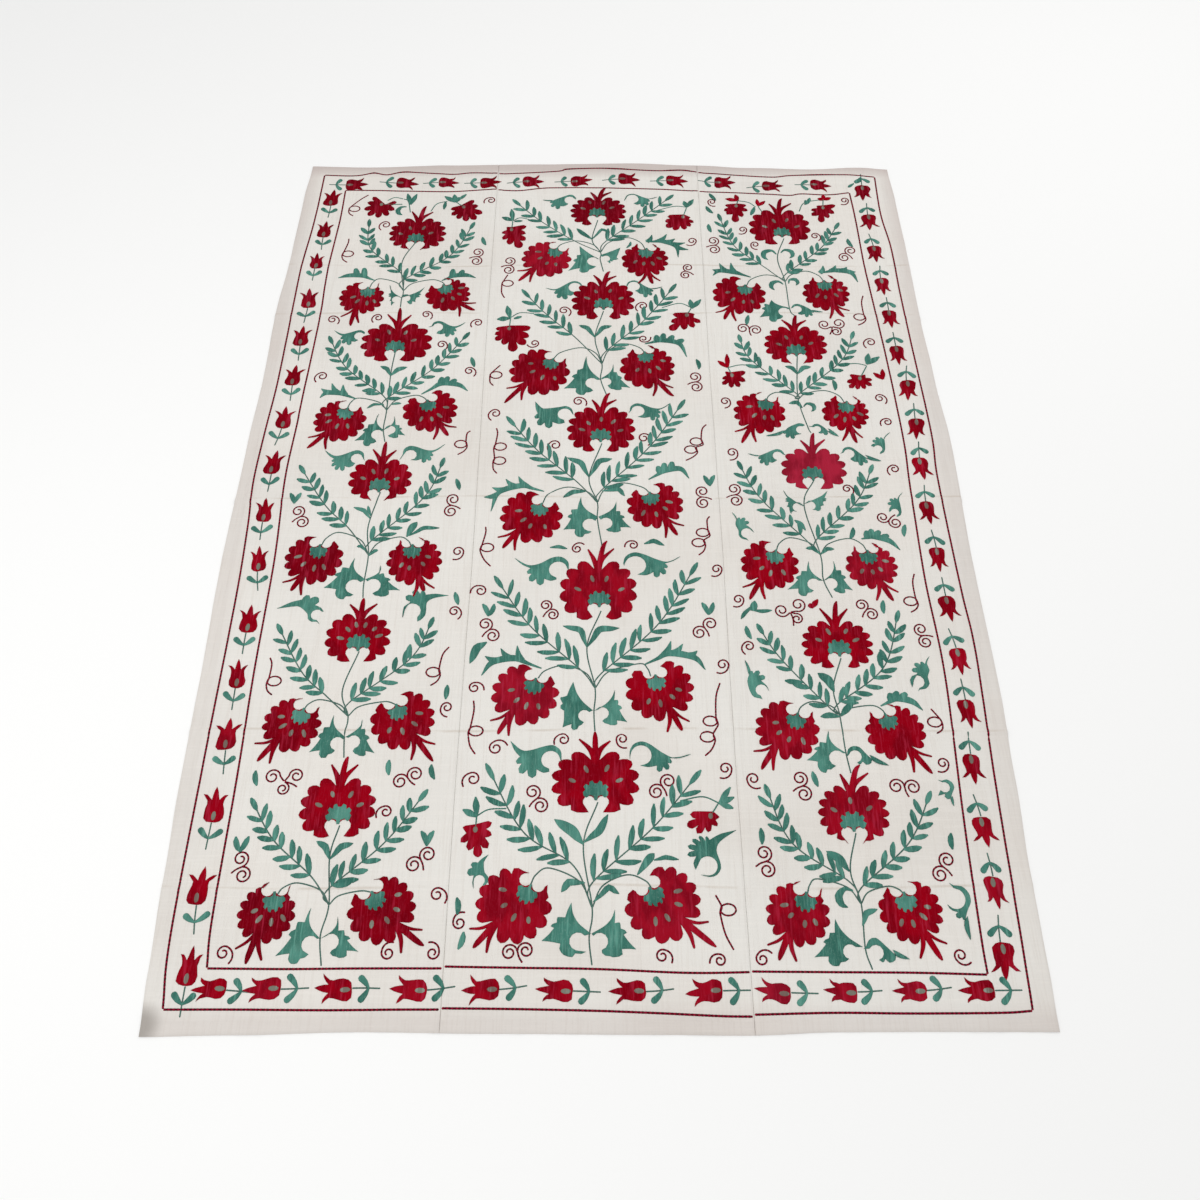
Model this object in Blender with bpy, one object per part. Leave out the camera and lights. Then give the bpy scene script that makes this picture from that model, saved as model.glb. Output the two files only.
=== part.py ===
"""A suzani: three loom widths of cotton cloth, sewn edge to edge and hemmed, lying flat on a floor.

Metres, +Z up. X runs across the cloth and Y from its near edge to its far edge. Each strip is a closed
sheet with the cloth's uneven outline, its turned hem, its seam allowance and the low ridges that folding
for storage has left. Z = 0 is the floor.
"""

from collections import namedtuple
import math

import bmesh
import bpy

# The cloth, in metres
HALF_LENGTH = 1.056
CLOTH_THICKNESS = 0.0012
HEM_WIDTH = 0.020
HEM_RISE = 0.0010
SEAM_GAP = 0.0003
SEAM_ALLOWANCE = 0.013
SEAM_RISE = 0.0006
STEP_RUN = 0.002

# The outline, as it was hemmed by hand: the sides bow out and the ends wander.
SideStation = namedtuple("SideStation", "y left_edge left_seam right_seam right_edge")
SIDES = (
    SideStation(-1.056, -0.7500, -0.2595, 0.2575, 0.7560),
    SideStation(-0.960, -0.7560, -0.2600, 0.2570, 0.7585),
    SideStation(-0.800, -0.7620, -0.2608, 0.2560, 0.7600),
    SideStation(-0.620, -0.7675, -0.2615, 0.2545, 0.7665),
    SideStation(-0.440, -0.7690, -0.2608, 0.2550, 0.7715),
    SideStation(-0.150, -0.7743, -0.2590, 0.2570, 0.7690),
    SideStation(0.150, -0.7700, -0.2605, 0.2560, 0.7743),
    SideStation(0.350, -0.7645, -0.2620, 0.2550, 0.7660),
    SideStation(0.530, -0.7665, -0.2625, 0.2553, 0.7610),
    SideStation(0.740, -0.7570, -0.2618, 0.2558, 0.7605),
    SideStation(0.940, -0.7535, -0.2612, 0.2562, 0.7575),
    SideStation(1.056, -0.7470, -0.2610, 0.2565, 0.7525),
)
EndStation = namedtuple("EndStation", "x near_edge far_edge")
ENDS = (
    EndStation(-0.750, -1.0618, 1.0500),
    EndStation(-0.600, -1.0592, 1.0460),
    EndStation(-0.390, -1.0545, 1.0540),
    EndStation(-0.180, -1.0570, 1.0578),
    EndStation(0.090, -1.0585, 1.0618),
    EndStation(0.240, -1.0598, 1.0540),
    EndStation(0.400, -1.0545, 1.0440),
    EndStation(0.550, -1.0540, 1.0385),
    EndStation(0.680, -1.0542, 1.0455),
    EndStation(0.756, -1.0545, 1.0380),
)

# Storage creases: low ridges that run across the cloth and wander in a slow wave
Crease = namedtuple("Crease", "middle height half_width wander phase")
CREASES = (
    Crease(-0.818, 0.0010, 0.010, 0.004, 2.1),
    Crease(-0.526, 0.0024, 0.011, 0.003, 0.4),
    Crease(0.003, 0.0022, 0.012, 0.003, 3.3),
    Crease(0.530, 0.0016, 0.012, 0.004, 5.0),
    Crease(0.690, 0.0010, 0.010, 0.004, 1.2),
)
WANDER_LENGTH = 0.90
WANDER_FADE = 0.060
EVEN_HEIGHT = 0.78
UNEVEN_LENGTH = 0.57

# The mesh
ROWS_ON_CREASE = (-1.0, -0.5, 0.0, 0.5, 1.0)
ROW_PITCH = 0.075
INNER_COLUMNS = 6

# Finish: off-white cotton, as linear colour
COTTON = (0.775, 0.729, 0.680, 1.0)
COTTON_ROUGHNESS = 0.92


def read_table(table, station, column):
    """A named column of an edge table at a station, eased from row to row."""
    for lower, upper in zip(table, table[1:]):
        if station <= upper[0]:
            share = max(0.0, (station - lower[0]) / (upper[0] - lower[0]))
            ease = 0.5 - 0.5 * math.cos(math.pi * share)
            start = getattr(lower, column)
            return start + (getattr(upper, column) - start) * ease
    return getattr(table[-1], column)


def crease_line(crease, x):
    """Y of a crease's ridge at x."""
    return crease.middle + crease.wander * math.sin(2.0 * math.pi * x / WANDER_LENGTH + crease.phase)


def underside(x, y):
    """Height of the underside over the floor: zero, but for the creases."""
    height = 0.0
    for crease in CREASES:
        away = abs(y - crease_line(crease, x)) / crease.half_width
        if away < 1.0:
            wave = math.sin(2.0 * math.pi * x / UNEVEN_LENGTH + crease.phase)
            uneven = EVEN_HEIGHT + (1.0 - EVEN_HEIGHT) * wave
            height += crease.height * uneven * (1.0 - away * away) ** 2
    return height


def crease_shift(x, y):
    """How far a row at y moves so that it follows the crease beside it."""
    shift = 0.0
    for crease in CREASES:
        away = abs(y - crease.middle) - crease.half_width
        fade = min(1.0, max(0.0, 1.0 - away / WANDER_FADE))
        shift += (crease_line(crease, x) - crease.middle) * fade
    return shift


def end_shift(x, y):
    """How far the uneven hems at both ends pull the cloth along Y."""
    share = (y + HALF_LENGTH) / (2.0 * HALF_LENGTH)
    near_pull = read_table(ENDS, x, "near_edge") + HALF_LENGTH
    far_pull = read_table(ENDS, x, "far_edge") - HALF_LENGTH
    return near_pull * (1.0 - share) + far_pull * share


def row_stations():
    """Y of the mesh rows: both hems, every crease, and even rows between them."""
    fixed = [-HALF_LENGTH, -HALF_LENGTH + HEM_WIDTH, -HALF_LENGTH + HEM_WIDTH + STEP_RUN]
    fixed += [-station for station in fixed]
    for crease in CREASES:
        fixed += [crease.middle + share * crease.half_width for share in ROWS_ON_CREASE]
    fixed.sort()
    rows = [fixed[0]]
    for lower, upper in zip(fixed, fixed[1:]):
        steps = max(1, round((upper - lower) / ROW_PITCH))
        rows += [lower + (upper - lower) * step / steps for step in range(1, steps + 1)]
    return rows


def column_stations(width, left_band, right_band):
    """Distances from a strip's left edge: its two doubled bands, and even columns between them."""
    start = left_band + STEP_RUN
    end = width - right_band - STEP_RUN
    inner = [start + (end - start) * step / INNER_COLUMNS for step in range(INNER_COLUMNS + 1)]
    return [0.0, left_band] + inner + [width - right_band, width]


def doubled(distance, band, rise):
    """Extra thickness at a distance from an edge whose cloth is turned under over a band."""
    return rise * min(1.0, max(0.0, (band + STEP_RUN - distance) / STEP_RUN))


def build_strip(name, left_side, right_side):
    """One loom width as a closed sheet. A side is (column of SIDES, offset, band turned under, rise)."""
    left_column, left_offset, left_band, left_rise = left_side
    right_column, right_offset, right_band, right_rise = right_side
    rows = row_stations()
    columns = len(column_stations(1.0, left_band, right_band))
    sheet = bmesh.new()
    thickness = sheet.verts.layers.float.new("thickness")
    bmesh.ops.create_grid(sheet, x_segments=columns - 1, y_segments=len(rows) - 1, size=1.0)
    for vert in sheet.verts:
        column = round((vert.co.x + 1.0) / 2.0 * (columns - 1))
        y = rows[round((vert.co.y + 1.0) / 2.0 * (len(rows) - 1))]
        left_x = read_table(SIDES, y, left_column) + left_offset
        right_x = read_table(SIDES, y, right_column) + right_offset
        along = column_stations(right_x - left_x, left_band, right_band)[column]
        x = left_x + along
        creased_y = y + crease_shift(x, y)
        rise = max(
            doubled(HALF_LENGTH - abs(y), HEM_WIDTH, HEM_RISE),
            doubled(along, left_band, left_rise),
            doubled(right_x - x, right_band, right_rise),
        )
        vert.co = (x, creased_y + end_shift(x, y), underside(x, creased_y))
        vert[thickness] = CLOTH_THICKNESS + rise
    face = bmesh.ops.extrude_face_region(sheet, geom=sheet.faces[:], use_keep_orig=True)
    for vert in face["geom"]:
        if isinstance(vert, bmesh.types.BMVert):
            vert.co.z += vert[thickness]
    bmesh.ops.recalc_face_normals(sheet, faces=sheet.faces[:])
    mesh = bpy.data.meshes.new(name)
    sheet.to_mesh(mesh)
    sheet.free()
    mesh.materials.append(cotton(name))
    strip = bpy.data.objects.new(name, mesh)
    bpy.context.scene.collection.objects.link(strip)


def cotton(strip_name):
    """Undyed plain-weave cotton, quite matt."""
    material = bpy.data.materials.new(strip_name.replace("panel", "cotton"))
    material.use_nodes = True
    shader = material.node_tree.nodes["Principled BSDF"]
    shader.inputs["Base Color"].default_value = COTTON
    shader.inputs["Roughness"].default_value = COTTON_ROUGHNESS
    shader.inputs["Metallic"].default_value = 0.0
    return material


for old in list(bpy.data.objects):
    bpy.data.objects.remove(old, do_unlink=True)

half_gap = SEAM_GAP / 2.0
build_strip(
    "panel_left",
    ("left_edge", 0.0, HEM_WIDTH, HEM_RISE),
    ("left_seam", -half_gap, SEAM_ALLOWANCE, SEAM_RISE),
)
build_strip(
    "panel_middle",
    ("left_seam", half_gap, SEAM_ALLOWANCE, SEAM_RISE),
    ("right_seam", -half_gap, SEAM_ALLOWANCE, SEAM_RISE),
)
build_strip(
    "panel_right",
    ("right_seam", half_gap, SEAM_ALLOWANCE, SEAM_RISE),
    ("right_edge", 0.0, HEM_WIDTH, HEM_RISE),
)
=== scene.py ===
"""A suzani lying flat: three loom widths of cotton, with flowers, leaves and scrolls in chain stitch.

Metres, +Z up. X runs across the cloth and Y from its near edge to its far edge, as in the CAD frame.
"""

import math
import random
from collections import namedtuple

import bmesh
import bpy
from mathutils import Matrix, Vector, noise


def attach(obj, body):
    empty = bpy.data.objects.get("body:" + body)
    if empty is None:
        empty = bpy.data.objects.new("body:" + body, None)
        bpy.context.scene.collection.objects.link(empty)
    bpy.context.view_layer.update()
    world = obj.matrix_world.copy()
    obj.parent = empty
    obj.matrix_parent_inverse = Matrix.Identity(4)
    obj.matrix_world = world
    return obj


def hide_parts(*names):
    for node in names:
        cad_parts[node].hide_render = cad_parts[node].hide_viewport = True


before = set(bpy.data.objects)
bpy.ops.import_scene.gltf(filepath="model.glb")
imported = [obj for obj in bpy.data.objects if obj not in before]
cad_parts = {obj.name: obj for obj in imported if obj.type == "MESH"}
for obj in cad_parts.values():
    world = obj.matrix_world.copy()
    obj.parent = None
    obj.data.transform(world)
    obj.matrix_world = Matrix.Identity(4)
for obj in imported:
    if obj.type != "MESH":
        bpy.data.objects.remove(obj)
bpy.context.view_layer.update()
chance = random.Random(11)

# ---------------------------------------------------------------- The cloth
# Three loom widths of undyed cotton in plain weave, hemmed at 20 mm by hand and sewn edge to edge. They lie
# flat but for low ridges where the cloth was folded, slack between the stitching, and a roped near hem.
HALF_LENGTH = 1.056
CLOTH_THICKNESS = 0.0012
HEM_WIDTH = 0.020
HEM_RISE = 0.0010
SEAM_GAP = 0.0003
SEAM_ALLOWANCE = 0.013
SEAM_RISE = 0.0006
STEP_RUN = 0.002
# A cut or turned edge rolls down over this width, to a share of the thickness
EDGE_ROLL = 0.0012
EDGE_SHARE = 0.45

SideStation = namedtuple("SideStation", "y left_edge left_seam right_seam right_edge")
SIDES = [SideStation(*row) for row in (
    (-1.056, -0.7500, -0.2595, 0.2575, 0.7560), (-0.960, -0.7560, -0.2600, 0.2570, 0.7585),
    (-0.800, -0.7620, -0.2608, 0.2560, 0.7600), (-0.620, -0.7675, -0.2615, 0.2545, 0.7665),
    (-0.440, -0.7690, -0.2608, 0.2550, 0.7715), (-0.150, -0.7743, -0.2590, 0.2570, 0.7690),
    (0.150, -0.7700, -0.2605, 0.2560, 0.7743), (0.350, -0.7645, -0.2620, 0.2550, 0.7660),
    (0.530, -0.7665, -0.2625, 0.2553, 0.7610), (0.740, -0.7570, -0.2618, 0.2558, 0.7605),
    (0.940, -0.7535, -0.2612, 0.2562, 0.7575), (1.056, -0.7470, -0.2610, 0.2565, 0.7525),
)]
EndStation = namedtuple("EndStation", "x near_edge far_edge")
ENDS = [EndStation(*row) for row in (
    (-0.750, -1.0618, 1.0500), (-0.600, -1.0592, 1.0460), (-0.390, -1.0545, 1.0540),
    (-0.180, -1.0570, 1.0578), (0.090, -1.0585, 1.0618), (0.240, -1.0598, 1.0540),
    (0.400, -1.0545, 1.0440), (0.550, -1.0540, 1.0385), (0.680, -1.0542, 1.0455),
    (0.756, -1.0545, 1.0380),
)]
Crease = namedtuple("Crease", "middle height half_width wander phase")
CREASES = [Crease(*row) for row in (
    (-0.818, 0.0010, 0.010, 0.004, 2.1), (-0.526, 0.0024, 0.011, 0.003, 0.4),
    (0.003, 0.0022, 0.012, 0.003, 3.3), (0.530, 0.0016, 0.012, 0.004, 5.0),
    (0.690, 0.0010, 0.010, 0.004, 1.2),
)]
WANDER_LENGTH = 0.90
WANDER_FADE = 0.060
EVEN_HEIGHT = 0.78
UNEVEN_LENGTH = 0.57

# The slack between the stitching, and the near hem's ropes: how high, how long, and how even they are. The
# cloud only sets the ropes' pattern apart from the slack's.
SLACK_HEIGHT = 0.0007
SLACK_LENGTH = 0.055
EVEN_SLACK = 0.4
UNEVEN_SLACK = 0.8
ROPE_HEIGHT = 0.0009
ROPE_PITCH = 0.021
ROPE_LENGTH = 0.063
ROPE_REACH = 0.055
EVEN_ROPE = 0.3
ROPE_CLOUD = 7.0
# The mesh of the cloth
ROW_PITCH = 0.0075
COLUMN_PITCH = 0.0065

Band = namedtuple("Band", "column width rise")
BANDS = [Band(*row) for row in (
    ("left_edge", HEM_WIDTH, HEM_RISE), ("left_seam", SEAM_ALLOWANCE, SEAM_RISE),
    ("right_seam", SEAM_ALLOWANCE, SEAM_RISE), ("right_edge", HEM_WIDTH, HEM_RISE),
)]
STRIPS = ("left", "middle", "right")
STRIP_WIDTH = 0.515

# Colours of the cotton: undyed white, patches of cream and of soil, dull and bright slubs, painted
# shade on the margins and along the crease ridges, and grey painted round the near left corner
COTTON_WHITE = "#e6e3dd"
COTTON_CREAM = "#e3dcd4"
SOIL = "#d3cdc6"
DULL_SLUB = "#d3cbc2"
BRIGHT_SLUB = "#f2ede6"
MARGIN_SHADE = "#c3b5b0"
CREASE_SHADE = "#b9a996"
CORNER_GREY = "#97918a"
# How far the painted shade of a crease and the grey at the corner reach, and how far they are full
FOLD_REACH = 0.0035
FOLD_LINE = 0.0006
MARK_PLACE = (-0.752, -1.045, 0.0)
MARK_REACH = 0.045
MARK_CORE = 0.012
# A margin of painted shade: its axis, where it starts and is full, and its strength at the near and at the
# far end
MARGINS = ((0, 0.715, 0.750, 0.10, 0.62), (1, 1.005, 1.040, 0.40, 1.0))


def read_table(table, station, column):
    """A named column of an edge table at a station, eased from row to row."""
    for lower, upper in zip(table, table[1:]):
        if station <= upper[0]:
            share = max(0.0, (station - lower[0]) / (upper[0] - lower[0]))
            ease = 0.5 - 0.5 * math.cos(math.pi * share)
            start = getattr(lower, column)
            return start + (getattr(upper, column) - start) * ease
    return getattr(table[-1], column)


def crease_line(crease, x):
    """Y of a crease's ridge at x."""
    return crease.middle + crease.wander * math.sin(2.0 * math.pi * x / WANDER_LENGTH + crease.phase)


def crease_shift(x, y):
    """How far a row at y moves so that it follows the crease beside it."""
    shift = 0.0
    for crease in CREASES:
        away = abs(y - crease.middle) - crease.half_width
        fade = min(1.0, max(0.0, 1.0 - away / WANDER_FADE))
        shift += (crease_line(crease, x) - crease.middle) * fade
    return shift


def end_shift(x, y):
    """How far the uneven hems at both ends pull the cloth along Y."""
    share = (y + HALF_LENGTH) / (2.0 * HALF_LENGTH)
    near_pull = read_table(ENDS, x, "near_edge") + HALF_LENGTH
    far_pull = read_table(ENDS, x, "far_edge") - HALF_LENGTH
    return near_pull * (1.0 - share) + far_pull * share


def underside(x, y):
    """Height of the cloth's underside over the floor: its creases, its slack and the roped hem."""
    row = y - end_shift(x, y)
    height = 0.0
    for crease in CREASES:
        away = abs(row - crease_line(crease, x)) / crease.half_width
        if away < 1.0:
            wave = math.sin(2.0 * math.pi * x / UNEVEN_LENGTH + crease.phase)
            uneven = EVEN_HEIGHT + (1.0 - EVEN_HEIGHT) * wave
            height += crease.height * uneven * (1.0 - away * away) ** 2
    slack = noise.noise(Vector((x / SLACK_LENGTH, y / SLACK_LENGTH, 0.0)))
    height += SLACK_HEIGHT * max(0.0, EVEN_SLACK + UNEVEN_SLACK * slack)
    roped = max(0.0, 1.0 - (row + HALF_LENGTH) / ROPE_REACH)
    if roped > 0.0:
        ridge = noise.noise(Vector((x / ROPE_PITCH, y / ROPE_LENGTH, ROPE_CLOUD)))
        height += ROPE_HEIGHT * roped * max(0.0, EVEN_ROPE + ridge)
    return height


def doubled(distance, band, rise):
    """Extra thickness at a distance from an edge whose cloth is turned under over a band."""
    return rise * min(1.0, max(0.0, (band + STEP_RUN - distance) / STEP_RUN))


def thickness(x, y):
    """Thickness of the cloth: one layer, and more over the turned hem and the seam allowances."""
    row = y - end_shift(x, y)
    rise = doubled(HALF_LENGTH - abs(row), HEM_WIDTH, HEM_RISE)
    for band in BANDS:
        away = abs(x - read_table(SIDES, row, band.column))
        rise = max(rise, doubled(away, band.width, band.rise))
    return CLOTH_THICKNESS + rise


def cloth_top(x, y):
    """Height of the cloth's upper face, which the thread lies on."""
    return underside(x, y) + thickness(x, y)


def stations(fixed, pitch):
    """The fixed stations in order, with even ones about a pitch apart between them."""
    ordered = sorted(fixed)
    found = [ordered[0]]
    for lower, upper in zip(ordered, ordered[1:]):
        steps = max(1, round((upper - lower) / pitch))
        found += [lower + (upper - lower) * step / steps for step in range(1, steps + 1)]
    return found


def weave_strip(left, right):
    """One loom width as a closed sheet between two bands of BANDS, its cut edges rolled down a little."""
    ends = [HALF_LENGTH - inward for inward in (0.0, EDGE_ROLL, HEM_WIDTH, HEM_WIDTH + STEP_RUN)]
    rows = stations(ends + [-end for end in ends], ROW_PITCH)
    inset = [0.0, EDGE_ROLL, left.width, left.width + STEP_RUN]
    far_inset = [0.0, EDGE_ROLL, right.width, right.width + STEP_RUN]
    shares = stations(inset + [STRIP_WIDTH - distance for distance in far_inset], COLUMN_PITCH)
    half_gap = 0.5 * SEAM_GAP
    sheet = bmesh.new()
    layer = sheet.verts.layers.float.new("layer")
    bmesh.ops.create_grid(sheet, x_segments=len(shares) - 1, y_segments=len(rows) - 1, size=1.0)
    for vert in sheet.verts:
        row = rows[round((vert.co.y + 1.0) / 2.0 * (len(rows) - 1))]
        share = shares[round((vert.co.x + 1.0) / 2.0 * (len(shares) - 1))] / STRIP_WIDTH
        left_x = read_table(SIDES, row, left.column) + (half_gap if "seam" in left.column else 0.0)
        right_x = read_table(SIDES, row, right.column) - (half_gap if "seam" in right.column else 0.0)
        x = left_x + (right_x - left_x) * share
        creased = row + crease_shift(x, row)
        y = creased + end_shift(x, creased)
        at_edge = share in (0.0, 1.0) or abs(row) == HALF_LENGTH
        vert.co = (x, y, underside(x, y))
        vert[layer] = thickness(x, y) * (EDGE_SHARE if at_edge else 1.0)
    face = bmesh.ops.extrude_face_region(sheet, geom=sheet.faces[:], use_keep_orig=True)
    for vert in face["geom"]:
        if isinstance(vert, bmesh.types.BMVert):
            vert.co.z += vert[layer]
    bmesh.ops.recalc_face_normals(sheet, faces=sheet.faces[:])
    return sheet


def linear(code):
    """An sRGB hex colour as linear RGBA."""
    parts = [int(code[start : start + 2], 16) / 255.0 for start in (1, 3, 5)]
    return [part / 12.92 if part <= 0.04045 else ((part + 0.055) / 1.055) ** 2.4 for part in parts] + [1.0]


def add_node(tree, kind, inputs=(), **settings):
    """Adds a node with its settings. Each input is a value or the output that feeds it."""
    node = tree.nodes.new("ShaderNode" + kind)
    for name, value in settings.items():
        setattr(node, name, value)
    for name, value in dict(inputs).items():
        if isinstance(value, bpy.types.NodeSocket):
            tree.links.new(value, node.inputs[name])
        else:
            node.inputs[name].default_value = value
    return node


def patches(tree, place, size, stretch, low, high, detail=2.0):
    """A 0 to 1 mask of soft patches of a size, stretched per axis, that starts at low and is full at high."""
    scales = [1.0 / (size * part) for part in stretch]
    scaled = add_node(tree, "Mapping", {"Vector": place, "Scale": scales})
    cloud = add_node(tree, "TexNoise", {"Vector": scaled.outputs[0], "Scale": 1.0, "Detail": detail})
    limits = {"Value": cloud.outputs[0], "From Min": low, "From Max": high}
    return add_node(tree, "MapRange", limits, interpolation_type="SMOOTHSTEP").outputs[0]


def blended(tree, mask, strength, under, over):
    """Colour under with colour over laid on it where the mask says, at a strength."""
    share = add_node(tree, "Math", {0: mask, 1: strength}, operation="MULTIPLY")
    return add_node(tree, "Mix", {0: share.outputs[0], 6: under, 7: over}, data_type="RGBA").outputs[2]


def new_finish(name, values):
    """A material with plain values on its shader's own sockets, and that shader."""
    finish = bpy.data.materials.new(name)
    finish.use_nodes = True
    shader = finish.node_tree.nodes["Principled BSDF"]
    for socket, value in values.items():
        shader.inputs[socket].default_value = value
    return finish, shader


def handloom_cotton():
    """Undyed plain-weave cotton, matt and slubby, a little soiled, with painted shade on its creases and
    margins.
    """
    plain = {"Roughness": 0.92, "IOR": 1.5, "Specular IOR Level": 0.25, "Sheen Weight": 0.10}
    finish, shader = new_finish("handloom_cotton", {**plain, "Sheen Roughness": 0.6})
    tree = finish.node_tree
    place = add_node(tree, "TexCoord").outputs["Object"]
    # Threads are 0.5 mm apart, too fine to show, so the slubs are drawn 3 mm wide.
    warp = patches(tree, place, 0.003, (1.0, 30.0, 1.0), 0.45, 0.75)
    weft = patches(tree, place, 0.003, (24.0, 1.0, 1.0), 0.45, 0.75)
    soil = patches(tree, place, 0.28, (1.0, 1.0, 1.0), 0.42, 0.70, 4.0)
    warm = patches(tree, place, 0.40, (1.0, 0.7, 1.0), 0.40, 0.65, 3.0)
    colour = linear(COTTON_WHITE)
    for mask, strength, over in (
        (warm, 0.50, COTTON_CREAM),
        (soil, 0.30, SOIL),
        (warp, 0.30, DULL_SLUB),
        (weft, 0.22, BRIGHT_SLUB),
    ):
        colour = blended(tree, mask, strength, colour, linear(over))
    # Outside the border the cotton is greyed by painted shade, a little at the near end and most at the far
    # end.
    spread = add_node(tree, "VectorMath", {0: place}, operation="ABSOLUTE")
    away = add_node(tree, "SeparateXYZ", {0: spread.outputs[0]})
    spot = add_node(tree, "SeparateXYZ", {0: place})
    for axis, start, full, near_share, far_share in MARGINS:
        grown = {"Value": away.outputs[axis], "From Min": start, "From Max": full}
        margin = add_node(tree, "MapRange", grown)
        ends = {"From Min": -1.0, "From Max": 1.05, "To Min": near_share, "To Max": far_share}
        share = add_node(tree, "MapRange", {"Value": spot.outputs[1], **ends})
        margin_shade = add_node(tree, "Math", {0: margin.outputs[0], 1: share.outputs[0]}, operation="MULTIPLY")
        colour = blended(tree, margin_shade.outputs[0], 0.80, colour, linear(MARGIN_SHADE))
    # Painted shade darkens a thin line along each crease ridge, here and there.
    scatter_mask = patches(tree, place, 0.09, (1.0, 0.4, 1.0), 0.42, 0.62, 3.0)
    for crease in CREASES:
        swing = {0: spot.outputs[0], 1: 2.0 * math.pi / WANDER_LENGTH, 2: crease.phase}
        wave = add_node(tree, "Math", swing, operation="MULTIPLY_ADD")
        sway = add_node(tree, "Math", {0: wave.outputs[0]}, operation="SINE")
        course = {0: sway.outputs[0], 1: crease.wander, 2: crease.middle}
        ridge = add_node(tree, "Math", course, operation="MULTIPLY_ADD")
        off = add_node(tree, "Math", {0: spot.outputs[1], 1: ridge.outputs[0]}, operation="SUBTRACT")
        beside = add_node(tree, "Math", {0: off.outputs[0]}, operation="ABSOLUTE")
        faded = {"Value": beside.outputs[0], "From Min": FOLD_REACH, "From Max": FOLD_LINE}
        line = add_node(tree, "MapRange", faded)
        crease_shade = add_node(tree, "Math", {0: line.outputs[0], 1: scatter_mask}, operation="MULTIPLY")
        colour = blended(tree, crease_shade.outputs[0], 0.38, colour, linear(CREASE_SHADE))
    # A grey patch is painted round the near left corner, where the hem is folded, darkest at its core.
    corner = add_node(tree, "VectorMath", {0: place, 1: MARK_PLACE}, operation="DISTANCE")
    faded = {"Value": corner.outputs["Value"], "From Min": MARK_REACH, "From Max": MARK_CORE}
    corner_grey = add_node(tree, "MapRange", faded, interpolation_type="SMOOTHSTEP")
    colour = blended(tree, corner_grey.outputs[0], 0.75, colour, linear(CORNER_GREY))
    tree.links.new(colour, shader.inputs["Base Color"])
    # The weave itself, at three times its real pitch, then the slubs and the crumple of limp cloth
    weave = patches(tree, place, 0.0016, (1.0, 1.0, 1.0), 0.2, 0.8)
    crumple = patches(tree, place, 0.011, (1.0, 2.5, 1.0), 0.1, 0.9)
    raised = add_node(tree, "Bump", {"Height": weave, "Strength": 0.35, "Distance": 0.0006})
    for relief, strength, distance in ((warp, 0.4, 0.0004), (crumple, 0.5, 0.0006)):
        settings = {"Height": relief, "Strength": strength, "Distance": distance}
        raised = add_node(tree, "Bump", {**settings, "Normal": raised.outputs[0]})
    tree.links.new(raised.outputs[0], shader.inputs["Normal"])
    return finish


def put_in_scene(name, data):
    """An object with its data, at the origin of the scene."""
    placed = bpy.data.objects.new(name, data)
    bpy.context.scene.collection.objects.link(placed)
    return placed


def finish_piece(threads, name, finishes):
    """Turns worked threads or cloth into a piece that rides with the cloth."""
    mesh = bpy.data.meshes.new(name)
    threads.to_mesh(mesh)
    threads.free()
    mesh.polygons.foreach_set("use_smooth", [True] * len(mesh.polygons))
    for finish in finishes:
        mesh.materials.append(finish)
    piece = put_in_scene(name, mesh)
    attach(piece, "root")
    return piece


cotton = handloom_cotton()
stitching = {strip: [] for strip in STRIPS}
for strip, left, right in zip(STRIPS, BANDS, BANDS[1:]):
    finish_piece(weave_strip(left, right), "cloth_" + strip, [cotton])
    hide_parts("panel_" + strip)

# ---------------------------------------------------------------- The ruled border
# Two wavy lines of chain stitch round the cloth, in a two-ply thread of dark maroon and crimson. Each strip
# was worked before it was joined, so the lines jump a little at both seams.
STITCH_LENGTH = 0.0055
ROW_WIDTH = 0.0026
THREAD_PITCH = 0.0020
THREAD_SINK = -0.0004
RULE_WIDTH = 0.0042
RULE_RISE = 0.0010
# Across the strip of thread: share of the half width, and share of the rise. The first and last meet below.
THREAD_SECTION = ((0.0, -0.4), (1.0, 0.15), (0.0, 1.0), (-1.0, 0.15), (0.0, -0.4))
# How narrow the thread is between two stitches, and how far a strip's stitching may lean over a seam
THREAD_WAIST = 0.80
SEAM_SLACK = 0.001
# What each point of the stitching knows: its motif's shade, 0 on the edge row and 1 within, and how far
# along its thread it lies.
MARKS = ("tone", "rim", "along")


def metres(value):
    """A length, a spot or a run of spots that is given in millimetres, in metres."""
    if isinstance(value, tuple):
        return tuple(metres(part) for part in value)
    return value / 1000.0


def laid_out(columns, rows, plain=""):
    """A table with named columns. Its lengths are in millimetres, and its plain columns are mere numbers."""
    Row = namedtuple("Row", columns)
    table = []
    for row in rows:
        named = zip(Row._fields, row)
        table.append(Row(*(value if name in plain.split() else metres(value) for name, value in named)))
    return table


OUTER_RULE = metres((
    ((-719, -1020), (-600, -1020), (-450, -1021), (-330, -1020), (-262, -1020)),
    ((-259, -1018), (-150, -1019), (0, -1022), (110, -1026), (200, -1030), (256, -1031)),
    ((258, -1028), (390, -1025), (520, -1026), (665, -1025), (718, -1022)),
    ((718, -1022), (720, -970), (724, -820), (729, -620), (739, -360), (734, -210), (730, 50),
     (735, 180), (728, 460), (725, 600), (724, 750), (714, 870), (716, 1009)),
    ((716, 1009), (640, 1018), (505, 1015), (450, 1009), (360, 1016), (258, 1026)),
    ((256, 1028), (215, 1035), (145, 1034), (20, 1042), (-78, 1039), (-110, 1031), (-240, 1022),
     (-259, 1023)),
    ((-262, 1024), (-330, 1025), (-385, 1020), (-500, 1028), (-550, 1018), (-585, 1024), (-630, 1014),
     (-712, 1016)),
    ((-712, 1016), (-716, 850), (-726, 700), (-728, 610), (-730, 330), (-736, 200), (-741, 50),
     (-734, -75), (-730, -250), (-731, -600), (-730, -900), (-719, -1020)),
))
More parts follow.
